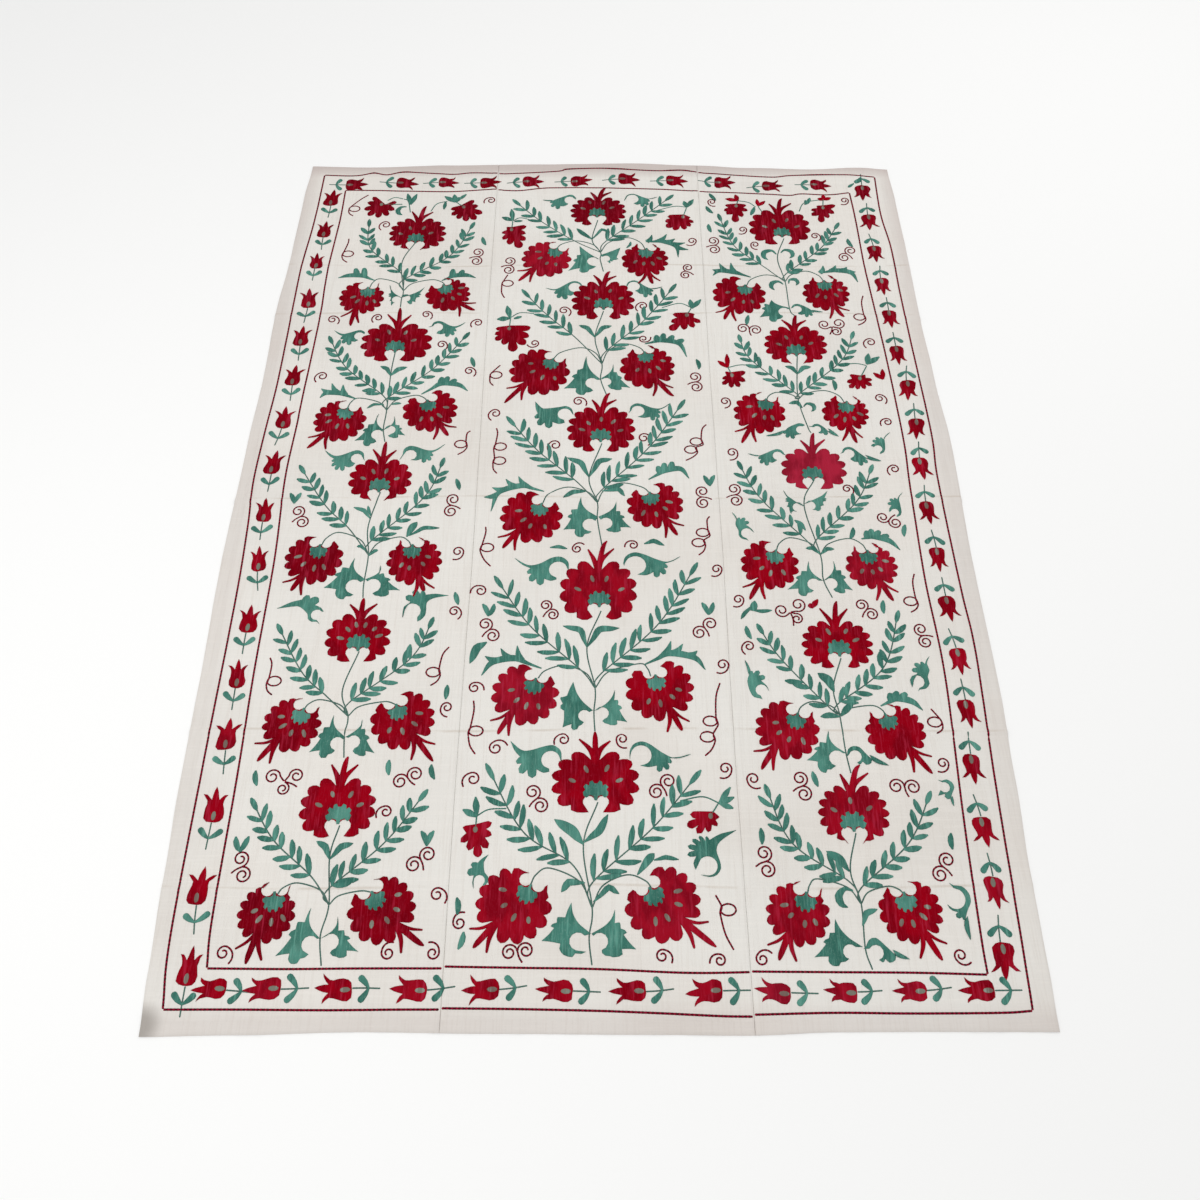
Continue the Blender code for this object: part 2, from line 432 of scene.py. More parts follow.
INNER_RULE = metres((
    ((-658, -955), (-520, -956), (-400, -955), (-262, -955)),
    ((-259, -952), (-130, -954), (0, -956), (150, -962), (256, -961)),
    ((258, -960), (400, -961), (540, -962), (654, -965)),
    ((654, -965), (654, -900), (659, -700), (671, -410), (665, -210), (666, -60), (668, 50), (671, 160),
     (665, 385), (654, 610), (650, 700), (648, 850), (644, 950)),
    ((644, 950), (590, 942), (520, 945), (490, 940), (440, 944), (340, 950), (258, 954)),
    ((256, 956), (170, 962), (80, 966), (0, 968), (-130, 968), (-205, 958), (-259, 960)),
    ((-262, 962), (-280, 962), (-385, 954), (-500, 956), (-600, 959), (-651, 959)),
    ((-651, 959), (-652, 850), (-660, 700), (-661, 620), (-660, 510), (-668, 260), (-669, 200),
     (-674, 50), (-666, -150), (-667, -400), (-664, -620), (-664, -870), (-658, -955)),
))


def smooth_line(knots, pitch):
    """Points about a pitch apart on a smooth curve through the knots."""
    knots = [Vector(knot) for knot in knots]
    guides = [2.0 * knots[0] - knots[1]] + knots + [2.0 * knots[-1] - knots[-2]]
    points = [knots[0]]
    for before, start, end, after in zip(guides, guides[1:], guides[2:], guides[3:]):
        steps = max(1, round((end - start).length / pitch))
        for step in range(1, steps + 1):
            t = step / steps
            slope = (end - before) * t
            bend = (2.0 * before - 5.0 * start + 4.0 * end - after) * t * t
            twist = (3.0 * start - before - 3.0 * end + after) * t**3
            points.append(start + 0.5 * (slope + bend + twist))
    return points


def strip_at(x):
    """The strip of cloth that x falls on."""
    seams = (SIDES[0].left_seam, SIDES[0].right_seam)
    return STRIPS[sum(x > seam - SEAM_SLACK for seam in seams)]


def new_hoops():
    """An empty mesh for each strip's stitching, with its marks."""
    hoops = {}
    for strip in STRIPS:
        hoops[strip] = bmesh.new()
        for mark in MARKS:
            hoops[strip].verts.layers.float.new(mark)
    return hoops


def take_up(hoops, patch, x):
    """Adds a finished patch of stitching to the strip that it is worked on."""
    bmesh.ops.recalc_face_normals(patch, faces=patch.faces[:])
    mesh = bpy.data.meshes.new("patch")
    patch.to_mesh(mesh)
    patch.free()
    hoops[strip_at(x)].from_mesh(mesh)
    bpy.data.meshes.remove(mesh)


def lay_thread(hoops, knots, width, rise, tone=0.0, thread=0, pitch=THREAD_PITCH):
    """One line of chain stitch along a smooth line: a closed half-round strip with a bead at each stitch."""
    line = smooth_line(knots, pitch)
    last = len(line) - 1
    run = [0.0]
    for start, end in zip(line, line[1:]):
        run.append(run[-1] + (end - start).length)
    patch = bmesh.new()
    tones, rims, alongs = [patch.verts.layers.float.new(mark) for mark in MARKS]
    sides = len(THREAD_SECTION) - 1
    bmesh.ops.create_grid(patch, x_segments=last, y_segments=sides, size=1.0)
    for vert in patch.verts:
        step = round((vert.co.x + 1.0) / 2.0 * last)
        across, up = THREAD_SECTION[round((vert.co.y + 1.0) / 2.0 * sides)]
        way = line[min(step + 1, last)] - line[max(step - 1, 0)]
        way.normalize()
        bead = THREAD_WAIST + (1.0 - THREAD_WAIST) * abs(math.sin(math.pi * run[step] / STITCH_LENGTH))
        if step in (0, last):
            across, up = THREAD_SECTION[0]
        spot = line[step] + Vector((-way.y, way.x)) * across * bead * 0.5 * width
        vert.co = (spot.x, spot.y, cloth_top(spot.x, spot.y) + up * rise * bead)
        vert[tones] = tone
        vert[rims] = 1.0
        vert[alongs] = run[step]
    bmesh.ops.remove_doubles(patch, verts=patch.verts[:], dist=0.00002)
    for face in patch.faces:
        face.material_index = thread
    take_up(hoops, patch, 0.5 * (line[0].x + line[-1].x))


def stitched_thread(name, colours, fleck_share, gloss, ply=0.0):
    """Chain-stitched thread of a deep, plain, pale and fleck colour. A ply is the length of a full twist."""
    deep, plain, pale, fleck = [linear(colour) for colour in colours]
    finish, shader = new_finish(name, {"Roughness": 0.78, "IOR": 1.54, "Specular IOR Level": gloss})
    tree = finish.node_tree
    place = add_node(tree, "TexCoord").outputs["Object"]
    tone, rim, along = [add_node(tree, "Attribute", attribute_name=mark).outputs["Fac"] for mark in MARKS]
    paler = add_node(tree, "MapRange", {"Value": tone, "From Min": 0.0, "From Max": 1.0})
    deeper = add_node(tree, "MapRange", {"Value": tone, "From Min": 0.0, "From Max": -1.0})
    edge = add_node(tree, "MapRange", {"Value": rim, "From Min": 0.9, "From Max": 0.1})
    # Rows of stitches are drawn 2.6 mm wide, twice the real ones, and the dye takes unevenly along them.
    row = patches(tree, place, ROW_WIDTH, (1.0, 9.0, 1.0), 0.45, 0.72)
    streak = patches(tree, place, 0.0045, (1.0, 11.0, 1.0), 0.52, 0.70, 3.0)
    lot = patches(tree, place, 0.032, (1.0, 1.8, 1.0), 0.40, 0.60, 3.0)
    scatter_mask = patches(tree, place, 0.0019, (1.0, 1.6, 1.0), 0.55, 0.75, 3.0)
    # The fleck colour goes on scattered flecks and on the raised parts of the rows. Where it is pale, as on
    # the crimson, teal, grey-green and maroon, it is painted highlight, the sheen of the stitch loops; on the
    # grey hearts it is brown fibre.
    colour = plain
    for mask, strength, over in (
        (paler.outputs[0], 1.0, pale),
        (deeper.outputs[0], 1.0, deep),
        (lot, 0.50, deep),
        (edge.outputs[0], 0.35, deep),
        (streak, 2.0 * fleck_share, pale),
        (row, 0.5 * fleck_share, fleck),
        (scatter_mask, fleck_share, fleck),
    ):
        colour = blended(tree, mask, strength, colour, over)
    if ply:
        turns = add_node(tree, "Math", {0: along, 1: 2.0 * math.pi / ply}, operation="MULTIPLY")
        wave = add_node(tree, "Math", {0: turns.outputs[0]}, operation="SINE")
        second = add_node(tree, "MapRange", {"Value": wave.outputs[0], "From Min": 0.1, "From Max": 0.7})
        colour = blended(tree, second.outputs[0], 0.85, colour, pale)
    tree.links.new(colour, shader.inputs["Base Color"])
    fibres = add_node(tree, "Bump", {"Height": scatter_mask, "Strength": 0.5, "Distance": 0.0005})
    ridges = {"Height": row, "Strength": 0.5, "Distance": 0.0006, "Normal": fibres.outputs[0]}
    tree.links.new(add_node(tree, "Bump", ridges).outputs[0], shader.inputs["Normal"])
    return finish


def finish_group(group, hoops, finishes):
    """Turns each strip's stitching into its piece of a group, which goes with that strip's cloth."""
    for strip in STRIPS:
        stitching[strip].append(finish_piece(hoops[strip], group + "_" + strip, finishes))


# Dark maroon with a crimson ply twisted in: from a distance the line looks finely barred.
# Its pale flecks are painted highlights, the sheen of the stitches.
MAROON = ("#38040d", "#5c0818", "#9c1a36", "#86323f")
maroon_ply = stitched_thread("maroon_two_ply", MAROON, 0.10, 0.03, 0.0080)
hoops = new_hoops()
for rule in (OUTER_RULE, INNER_RULE):
    for run in rule:
        lay_thread(hoops, run, RULE_WIDTH, RULE_RISE)
finish_group("border_rule", hoops, [maroon_ply])

# ---------------------------------------------------------------- The border tulips
# A row of small tulips between the two rules, each a bell of crimson with three pointed petals, a grey-green
# heart, a thin stem and two leaves. They are worked solid, in rows of chain stitch side by side.
EDGE_WIDTH = 0.0012
FILL_RISE = 0.0011
ROW_GROOVE = 0.00028
WALL_SHARE = 0.45
# Solid stitching is cut through this often to follow the cloth. A face counts as its top from this rim on.
CUT_PITCH = 0.010
CUT_REACH = 1e-7
ON_TOP = 0.99
STROKE_PITCH = 0.006
STEM_WIDTH = 0.0028
STEM_RISE = 0.0008
# A pointed end is still this wide, and an end wider than the blunt one is rounded off, by shares of its width
POINT_WIDTH = 0.0008
BLUNT_WIDTH = 0.003
ROUND_CORNER = 0.34
ROUND_TOP = 0.46
# Half a tulip's width and length, its leaves' reach, and its heart's half sizes. The sides of its petals
# flare from a share of its height. Far tulips are stouter and far hearts browner, by this much in a metre.
TULIP_WIDTH = 0.0165
TULIP_LENGTH = 0.0300
TULIP_LEAF = 0.0200
TULIP_HEART = (0.0048, 0.0092)
PETAL_TOP = 1.10
FLARE_FROM = 0.4
FAR_TULIPS_STOUTER = 0.18
FAR_HEARTS_BROWNER = 0.6
CRIMSON, TEAL, STEM, HEART = range(4)

# Each row of tulips: which way its petals point, how stout it is, and its flowers' x, y, size and tone
TULIP_ROWS = (
    ((0.0, 1.0), 1.00, (
        (-682, 930, 0.94, -0.5), (-686, 815, 0.92, -0.5), (-692, 705, 0.86, -0.4), (-694, 580, 1.02, -0.4),
        (-695, 460, 0.98, -0.3), (-696, 340, 0.96, -0.3), (-700, 218, 1.00, -0.2), (-705, 95, 1.00, -0.2),
        (-705, -30, 0.96, -0.2), (-698, -150, 0.98, -0.2), (-695, -290, 1.00, -0.1), (-698, -410, 0.98, -0.1),
        (-696, -535, 1.02, 0.0), (-695, -672, 1.06, 0.0), (-695, -818, 1.06, 0.0), (-688, -952, 1.04, 0.0),
    )),
    ((0.0, -1.0), 1.06, (
        (678, 950, 0.92, -0.5), (681, 842, 0.90, -0.4), (682, 730, 0.92, -0.4), (686, 620, 0.90, -0.4),
        (690, 515, 0.90, -0.3), (692, 402, 0.92, -0.3), (701, 298, 0.94, -0.2), (704, 188, 0.94, -0.2),
        (699, 80, 0.94, -0.1), (696, -35, 0.92, -0.1), (699, -150, 0.94, -0.1), (702, -265, 0.94, 0.0),
        (704, -382, 0.94, 0.0), (702, -492, 0.94, 0.0), (692, -602, 0.94, 0.0), (692, -720, 0.90, 0.0),
        (692, -828, 0.90, 0.1), (686, -942, 0.98, 0.1),
    )),
    ((-1.0, 0.0), 1.04, (
        (-648, -988, 0.94, 0.0), (-560, -988, 1.02, 0.2), (-440, -988, 1.00, 0.1), (-315, -989, 1.00, 0.1),
        (-195, -989, 1.00, 0.0), (-72, -990, 1.00, 0.1), (50, -991, 1.00, 0.0), (178, -992, 1.00, 0.1),
        (292, -992, 0.98, 0.3), (405, -992, 0.90, 0.2), (520, -991, 0.92, 0.1), (632, -990, 0.98, -0.1),
    )),
    ((1.0, 0.0), 1.30, (
        (-625, 980, 0.92, -0.6), (-495, 985, 0.94, -0.5), (-388, 988, 0.86, -0.5), (-280, 988, 0.88, -0.5),
        (-170, 992, 0.88, -0.5), (-45, 995, 0.90, -0.5), (78, 1001, 0.90, -0.5), (202, 995, 0.90, -0.5),
        (325, 988, 0.88, -0.5), (448, 975, 0.88, -0.5), (572, 978, 0.86, -0.5),
    )),
)


def both_sides(line):
    """The left side and the right side of a tapered line. Each point is x, y and the width there."""
    left = []
    right = []
    for before, point, after in zip(line[:1] + line, line, line[1:] + line[-1:]):
        way = (after - before).xy.normalized()
        side = Vector((-way.y, way.x)) * 0.5 * max(point.z, POINT_WIDTH)
        left.append(point.xy + side)
        right.append(point.xy - side)
    return left, right


def stroke(*knots):
    """Outline of a tapered shape along a smooth line. Each knot is x, y and the shape's width there."""
    line = smooth_line(knots, STROKE_PITCH)
    left, right = both_sides(line)
    end = line[-1]
    if end.z > BLUNT_WIDTH:
        way = (end - line[-2]).xy.normalized()
        side = Vector((-way.y, way.x)) * ROUND_CORNER * end.z
        ahead = end.xy + way * ROUND_CORNER * end.z
        left += [ahead + side, end.xy + way * ROUND_TOP * end.z]
        right.append(ahead - side)
    return left + right[::-1]


def cut_lines(outline, axis, pitch):
    """Numbers of the lines, a pitch apart along an axis, that cross an outline."""
    spots = [point[axis] for point in outline]
    return range(math.ceil(min(spots) / pitch), math.floor(max(spots) / pitch) + 1)


def cut_through(patch, parts, way, place):
    """Cuts the parts of a patch with a plane square to way, at a place along it."""
    return bmesh.ops.bisect_plane(patch, geom=parts, plane_co=way * place, plane_no=way, dist=CUT_REACH)


def work_solid(hoops, outline, tone, thread=0, rise=FILL_RISE, rows=True):
    """Chain stitch worked solid inside an outline: a low wall, a rounded edge, and raised rows on top."""
    patch = bmesh.new()
    tones, rims, alongs, lifts = [patch.verts.layers.float.new(mark) for mark in (*MARKS, "lift")]
    base = patch.faces.new([patch.verts.new((point[0], point[1], 0.0)) for point in outline])
    for vert in patch.verts:
        vert[lifts] = THREAD_SINK
    grown = bmesh.ops.extrude_face_region(patch, geom=[base], use_keep_orig=True)
    top = [part for part in grown["geom"] if isinstance(part, bmesh.types.BMFace)][0]
    for vert in top.verts:
        vert[lifts] = WALL_SHARE * rise
    bmesh.ops.inset_region(patch, faces=[top], thickness=EDGE_WIDTH, use_boundary=True)
    for vert in top.verts:
        vert[lifts] = rise
        vert[rims] = 1.0
    # Cuts across let the whole patch follow the cloth, and cuts along its top make the rows and grooves.
    parts = patch.verts[:] + patch.edges[:] + patch.faces[:]
    for line in cut_lines(outline, 1, CUT_PITCH):
        parts = cut_through(patch, parts, Vector((0.0, 1.0, 0.0)), line * CUT_PITCH)["geom"]
    if rows:
        half_row = 0.5 * ROW_WIDTH
        faces = [face for face in patch.faces if min(vert[rims] for vert in face.verts) > ON_TOP]
        verts = {vert for face in faces for vert in face.verts}
        edges = {edge for face in faces for edge in face.edges}
        upper = list(verts) + list(edges) + faces
        for line in cut_lines(outline, 0, half_row):
            made = cut_through(patch, upper, Vector((1.0, 0.0, 0.0)), line * half_row)
            upper = made["geom"]
            groove = 0.0 if line % 2 else ROW_GROOVE
            for part in made["geom_cut"]:
                if isinstance(part, bmesh.types.BMVert):
                    part[lifts] = rise - groove
    for vert in patch.verts:
        vert.co.z = cloth_top(vert.co.x, vert.co.y) + vert[lifts]
        vert[tones] = tone
        vert[alongs] = 0.0
    for face in patch.faces:
        face.material_index = thread
    patch.verts.layers.float.remove(patch.verts.layers.float["lift"])
    take_up(hoops, patch, 0.5 * (outline[0][0] + outline[len(outline) // 2][0]))


def set_out(centre, up, points):
    """Points of a motif, laid out across and up from its centre, put in place on the cloth."""
    up = Vector(up).normalized()
    across = Vector((up.y, -up.x))
    placed = []
    for point in points:
        spot = Vector(centre[:2]) + across * point[0] + up * point[1]
        placed.append((spot.x, spot.y, *point[2:]))
    return placed


def petal_arc(centre, width, height, start, end, steps):
    """Points on an arc of an ellipse from one angle to another, in degrees."""
    points = []
    for step in range(steps + 1):
        angle = math.radians(start + (end - start) * step / steps)
        points.append((centre[0] + width * math.cos(angle), centre[1] + height * math.sin(angle)))
    return points


# One side of a tulip from its foot: the round belly, the waist, a petal that flares out, and its notch
TULIP_SIDE = (
    (0.22, -1.00), (0.68, -0.95), (0.98, -0.76), (1.02, -0.48), (0.90, -0.18), (0.80, 0.06), (0.84, 0.26),
    (1.02, 0.43), (1.30, 0.64), (0.94, 0.60), (0.64, 0.48), (0.38, 0.32), (0.32, 0.56), (0.20, 0.84),
)


def work_tulip(hoops, tulip, up, stout):
    """A border tulip whose petals point along up, with its heart, stem and two leaves. Stout widens it."""
    size = tulip.size
    wide = TULIP_WIDTH * stout * size * chance.uniform(0.94, 1.08)
    long = TULIP_LENGTH * size
    lean = chance.uniform(-0.12, 0.12)
    flare = chance.uniform(0.85, 1.10)
    outline = []
    for side in (1, -1):
        half = []
        for u, v in TULIP_SIDE:
            across = side * u * wide * (flare if v > FLARE_FROM else 1.0) * chance.uniform(0.95, 1.05)
            half.append((across, v * long * chance.uniform(0.97, 1.03)))
        outline += half + [(0.0, PETAL_TOP * long)] if side > 0 else half[::-1]
    outline = [(u + lean * v, v) for u, v in outline]
    work_solid(hoops, set_out(tulip, up, outline), tulip.tone + chance.uniform(-0.1, 0.1), CRIMSON)
    heart = petal_arc((-0.6 * lean * long, -0.62 * long), *TULIP_HEART, 90, 410, 8)
    brown = -FAR_HEARTS_BROWNER * max(0.0, tulip.y)
    work_solid(hoops, set_out(tulip, up, heart), brown, HEART, 1.35 * FILL_RISE, rows=False)
    # The stem sways a little on its way down, and the two leaves spring from it where they fork.
    fork = chance.uniform(-0.003, 0.003)
    stem = [(0.0, -0.98 * long), (0.4 * fork, -1.45 * long), (fork, -1.92 * long), (2.2 * fork, -2.60 * long)]
    lay_thread(hoops, [place[:2] for place in set_out(tulip, up, stem)], STEM_WIDTH, STEM_RISE, thread=STEM)
    for side in (-1, 1):
        reach = side * TULIP_LEAF * size * chance.uniform(0.88, 1.12)
        raised = chance.uniform(0.011, 0.017)
        leaf = [
            (fork, -1.93 * long, 0.0030),
            (fork + 0.46 * reach, -1.92 * long + 0.40 * raised, 0.0088),
            (fork + 0.84 * reach, -1.92 * long + 0.90 * raised, 0.0110),
        ]
        work_solid(hoops, stroke(*set_out(tulip, up, leaf)), chance.uniform(-0.3, 0.4), TEAL, rows=False)


# Matt crimson, teal with pale streaks, a duller grey-green, and a grey with brown flecks, as faded hearts
# look. The pale flecks of the crimson, teal and grey-green are painted highlights, the sheen of the stitches.
CRIMSONS = ("#5c000c", "#960014", "#b02a44", "#b03048")
TEALS = ("#24564b", "#478073", "#66a191", "#8ab0a2")
GREY_GREENS = ("#3d5d55", "#4d7066", "#6c8b80", "#8aa096")
FADED_GREYS = ("#643c3c", "#7a7e72", "#98a096", "#96605c")
crimson = stitched_thread("crimson_chain_stitch", CRIMSONS, 0.26, 0.01)
teal = stitched_thread("teal_chain_stitch", TEALS, 0.34, 0.03)
stem_green = stitched_thread("grey_green_stem_thread", GREY_GREENS, 0.30, 0.04)
heart_grey = stitched_thread("grey_heart_thread", FADED_GREYS, 0.45, 0.04)
threads = [crimson, teal, stem_green, heart_grey]
hoops = new_hoops()
for up, stoutness, row in TULIP_ROWS:
    for tulip in laid_out("x y size tone", row, "size tone"):
        tilt = chance.uniform(-0.06, 0.06)
        stout = stoutness + FAR_TULIPS_STOUTER * max(0.0, tulip.y) * abs(up[1])
        work_tulip(hoops, tulip, (up[0] + tilt * up[1], up[1] + tilt * up[0]), stout)
finish_group("border_tulips", hoops, threads)

# ---------------------------------------------------------------- The stems
# Fifteen plants, five up each strip. A thin grey-green stem forks under each great flower, sends an arching
# stalk to a hanging flower on either side, and carries a leafy spray on each side above the fork.
PLANTS = laid_out("neck bend fork foot end left_peak left_calyx right_peak right_calyx", (
    ((-2, 850), (-16, 778), (5, 735), (4, 710), (12, 668), (-55, 775), (-105, 746), (70, 786), (116, 744)),
    ((12, 540), (-8, 455), (8, 375), (5, 330), (19, 280), (-40, 424), (-106, 387), (60, 436), (108, 407)),
    ((8, 148), (-20, 55), (-2, -10), (-2, -52), (8, -120), (-65, 30), (-120, -15), (50, 41), (111, 12)),
    ((6, -270), (-22, -352), (-6, -440), (-8, -490), (-6, -530), (-65, -392), (-117, -420), (80, -388),
     (102, -416)),
    ((0, -665), (-26, -745), (-10, -855), (-15, -905), (-10, -951), (-85, -786), (-118, -816),
     (50, -798), (95, -824)),
    ((-455, 770), (-482, 700), (-470, 605), (-472, 578), (-472, 550), (-530, 645), (-553, 612),
     (-405, 642), (-370, 622)),
    ((-471, 412), (-475, 345), (-474, 240), (-476, 188), (-469, 150), (-540, 274), (-563, 243),
     (-415, 282), (-385, 264)),
    ((-465, 18), (-482, -70), (-474, -140), (-476, -210), (-474, -242), (-540, -85), (-575, -120),
     (-415, -96), (-387, -121)),
    ((-468, -360), (-491, -445), (-474, -498), (-476, -538), (-472, -582), (-530, -464), (-560, -486),
     (-410, -468), (-383, -478)),
    ((-464, -708), (-475, -765), (-466, -850), (-474, -902), (-466, -952), (-525, -812), (-558, -833),
     (-415, -826), (-389, -831)),
    ((462, 785), (440, 715), (452, 635), (455, 545), (465, 522), (405, 658), (356, 619), (505, 670),
     (546, 634)),
    ((460, 402), (455, 355), (450, 270), (464, 192), (470, 175), (405, 291), (378, 267), (510, 296),
     (554, 259)),
    ((464, 50), (436, -15), (458, -140), (458, -198), (472, -242), (400, -98), (367, -132), (520, -100),
     (556, -135)),
    ((474, -375), (452, -440), (458, -495), (461, -568), (466, -612), (410, -468), (378, -495),
     (520, -476), (546, -497)),
    ((462, -722), (444, -790), (456, -848), (454, -922), (462, -958), (385, -805), (364, -833),
     (505, -818), (532, -832)),
))


def partway(start, end, across, along):
    """A point between two others, at a share of the way from one to the other in x and at another in y."""
    return Vector((start.x + across * (end.x - start.x), start.y + along * (end.y - start.y)))


def arching_stalk(fork, peak, calyx):
    """Knots of a stalk that leaves the stem, rises over a peak and comes down to a hanging flower."""
    fork, peak, calyx = Vector(fork), Vector(peak), Vector(calyx)
    return [fork, partway(fork, peak, 0.30, 0.66), peak, partway(peak, calyx, 0.72, 0.38), calyx]


hoops = new_hoops()
for plant in PLANTS:
    *stem, left_peak, left_calyx, right_peak, right_calyx = plant
    lay_thread(hoops, stem, STEM_WIDTH, STEM_RISE)
    for peak, calyx in ((left_peak, left_calyx), (right_peak, right_calyx)):
        lay_thread(hoops, arching_stalk(plant.fork, peak, calyx), STEM_WIDTH, STEM_RISE)

# The leafy sprays: a fine stem with leaves in pairs, and one leaf at its tip.
SPRAYS = laid_out("base middle tip", (
    ((-60, 775), (-145, 845), (-220, 925)), ((15, 770), (100, 850), (192, 942)),
    ((-58, 460), (-125, 530), (-185, 610)), ((15, 410), (108, 510), (188, 628)),
    ((-50, 48), (-135, 130), (-205, 222)), ((5, 20), (110, 135), (195, 270)),
    ((-35, -400), (-135, -305), (-212, -190)), ((5, -410), (120, -300), (204, -158)),
    ((-45, -780), (-135, -720), (-208, -592)), ((-10, -812), (100, -712), (190, -605)),
    ((-482, 665), (-565, 750), (-578, 852)), ((-475, 640), (-365, 725), (-312, 842)),
    ((-485, 280), (-580, 365), (-631, 460)), ((-480, 270), (-380, 360), (-302, 472)),
    ((-522, -75), (-580, -15), (-648, 88)), ((-475, -110), (-370, 5), (-335, 108)),
    ((-522, -455), (-575, -405), (-638, -300)), ((-475, -470), (-365, -375), (-328, -285)),
    ((-504, -800), (-580, -735), (-632, -658)), ((-472, -825), (-380, -740), (-311, -642)),
    ((400, 690), (335, 760), (302, 872)), ((455, 660), (550, 750), (605, 840)),
    ((445, 290), (350, 390), (328, 465)), ((452, 285), (560, 385), (599, 475)),
    ((425, -95), (342, 5), (302, 100)), ((452, -105), (550, -5), (595, 90)),
    ((440, -480), (355, -375), (315, -300)), ((455, -475), (555, -395), (601, -270)),
    ((440, -810), (345, -740), (305, -632)), ((460, -820), (555, -740), (608, -645)),
))


def spray_knots(spray):
    """Knots of a spray's stem, which leaves the plant where the stalks of the hanging flowers fork."""
    plant = min(PLANTS, key=lambda plant: (Vector(plant.fork) - Vector(spray.base)).length)
    return [plant.fork, spray.base, spray.middle, spray.tip]


for spray in SPRAYS:
    lay_thread(hoops, spray_knots(spray), STEM_WIDTH, STEM_RISE)
finish_group("stems", hoops, [stem_green])

# ---------------------------------------------------------------- The leaves
# Teal leaves worked solid: paired leaves up each spray, curved leaves under the flowers, split leaves at the
# foot of each stem, arched leaves beside the great flowers and toothed ones over the hanging flowers.
# The leaves of a spray and their spacing, which is closer on the outer strips, where they are smaller too
LEAF_LENGTH = 0.0450
LEAF_WIDTH = 0.0104
LEAF_SPREAD = 40.0
# Where along a leaf, as a share of its length, and how wide it is there, as a share of its width
LEAF_TAPER = ((0.0, 0.24), (0.25, 0.84), (0.5, 1.0), (0.75, 0.90), (1.0, 0.26))
HOOK_TAPER = ((0.0, 0.24), (0.25, 0.62), (0.55, 1.15), (0.8, 0.92), (1.0, 0.10))
SPRAY_PITCH = 0.004
SPRAY_START = 0.05
SPRAY_SHRINK = 0.16
TIP_LEAF = 0.8
LEAF_SPACING = 0.0270
OUTER_SPACING = 0.0246
OUTER_SIZE = 0.80
FAR_SHRINK = 0.11
DARK_FAR = -0.30


def shade(y):
    """Tone of the teal at y: the far leaves were worked in a deeper lot of thread."""
    return chance.uniform(-0.35, 0.35) + DARK_FAR * max(0.0, y)


def work_leaf(hoops, root, way, length, width, bow=0.0):
    """A plain pointed leaf from its root along way, bowed sideways by a share of its length."""
    way = Vector(way).normalized() * length
    side = Vector((-way.y, way.x)) * bow
    knots = []
    for share, wide in LEAF_TAPER:
        spot = Vector(root) + way * share + side * 4.0 * share * (1.0 - share)
        knots.append((spot.x, spot.y, width * wide))
    left, right = both_sides(smooth_line(knots, length))
    work_solid(hoops, left + right[::-1], shade(root[1]), rows=False)


hoops = new_hoops()
for spray in SPRAYS:
    outer = strip_at(spray.base[0]) != "middle"
    full = (OUTER_SIZE if outer else 1.0) * (1.0 - FAR_SHRINK * max(0.0, spray.base[1]))
    line = smooth_line(spray_knots(spray), SPRAY_PITCH)
    first = min(range(len(line)), key=lambda step: (line[step] - Vector(spray.base)).length)
    line = line[first : -round(TIP_LEAF * LEAF_LENGTH * full / SPRAY_PITCH)]
    pairs = round(SPRAY_PITCH * len(line) / (OUTER_SPACING if outer else LEAF_SPACING))
    for pair in range(pairs):
        share = SPRAY_START + (1.0 - SPRAY_START) * pair / pairs
        step = round(share * (len(line) - 1))
        joint = line[step]
        ahead = line[min(step + 4, len(line) - 1)]
        heading = math.atan2(ahead.y - joint.y, ahead.x - joint.x)
        for side in (-1, 1):
            turn = heading + side * math.radians(LEAF_SPREAD + chance.uniform(-6.0, 6.0))
            size = full * (1.0 - SPRAY_SHRINK * share) * chance.uniform(0.88, 1.08)
            start = joint + Vector((math.cos(heading), math.sin(heading))) * chance.uniform(-0.004, 0.004)
            way = (math.cos(turn), math.sin(turn))
            width = LEAF_WIDTH * chance.uniform(0.88, 1.12)
            work_leaf(hoops, start, way, LEAF_LENGTH * size, width, side * chance.uniform(-0.02, 0.07))
    end = Vector(spray.tip) - line[-1].xy
    work_leaf(hoops, line[-1], end, end.length, LEAF_WIDTH)

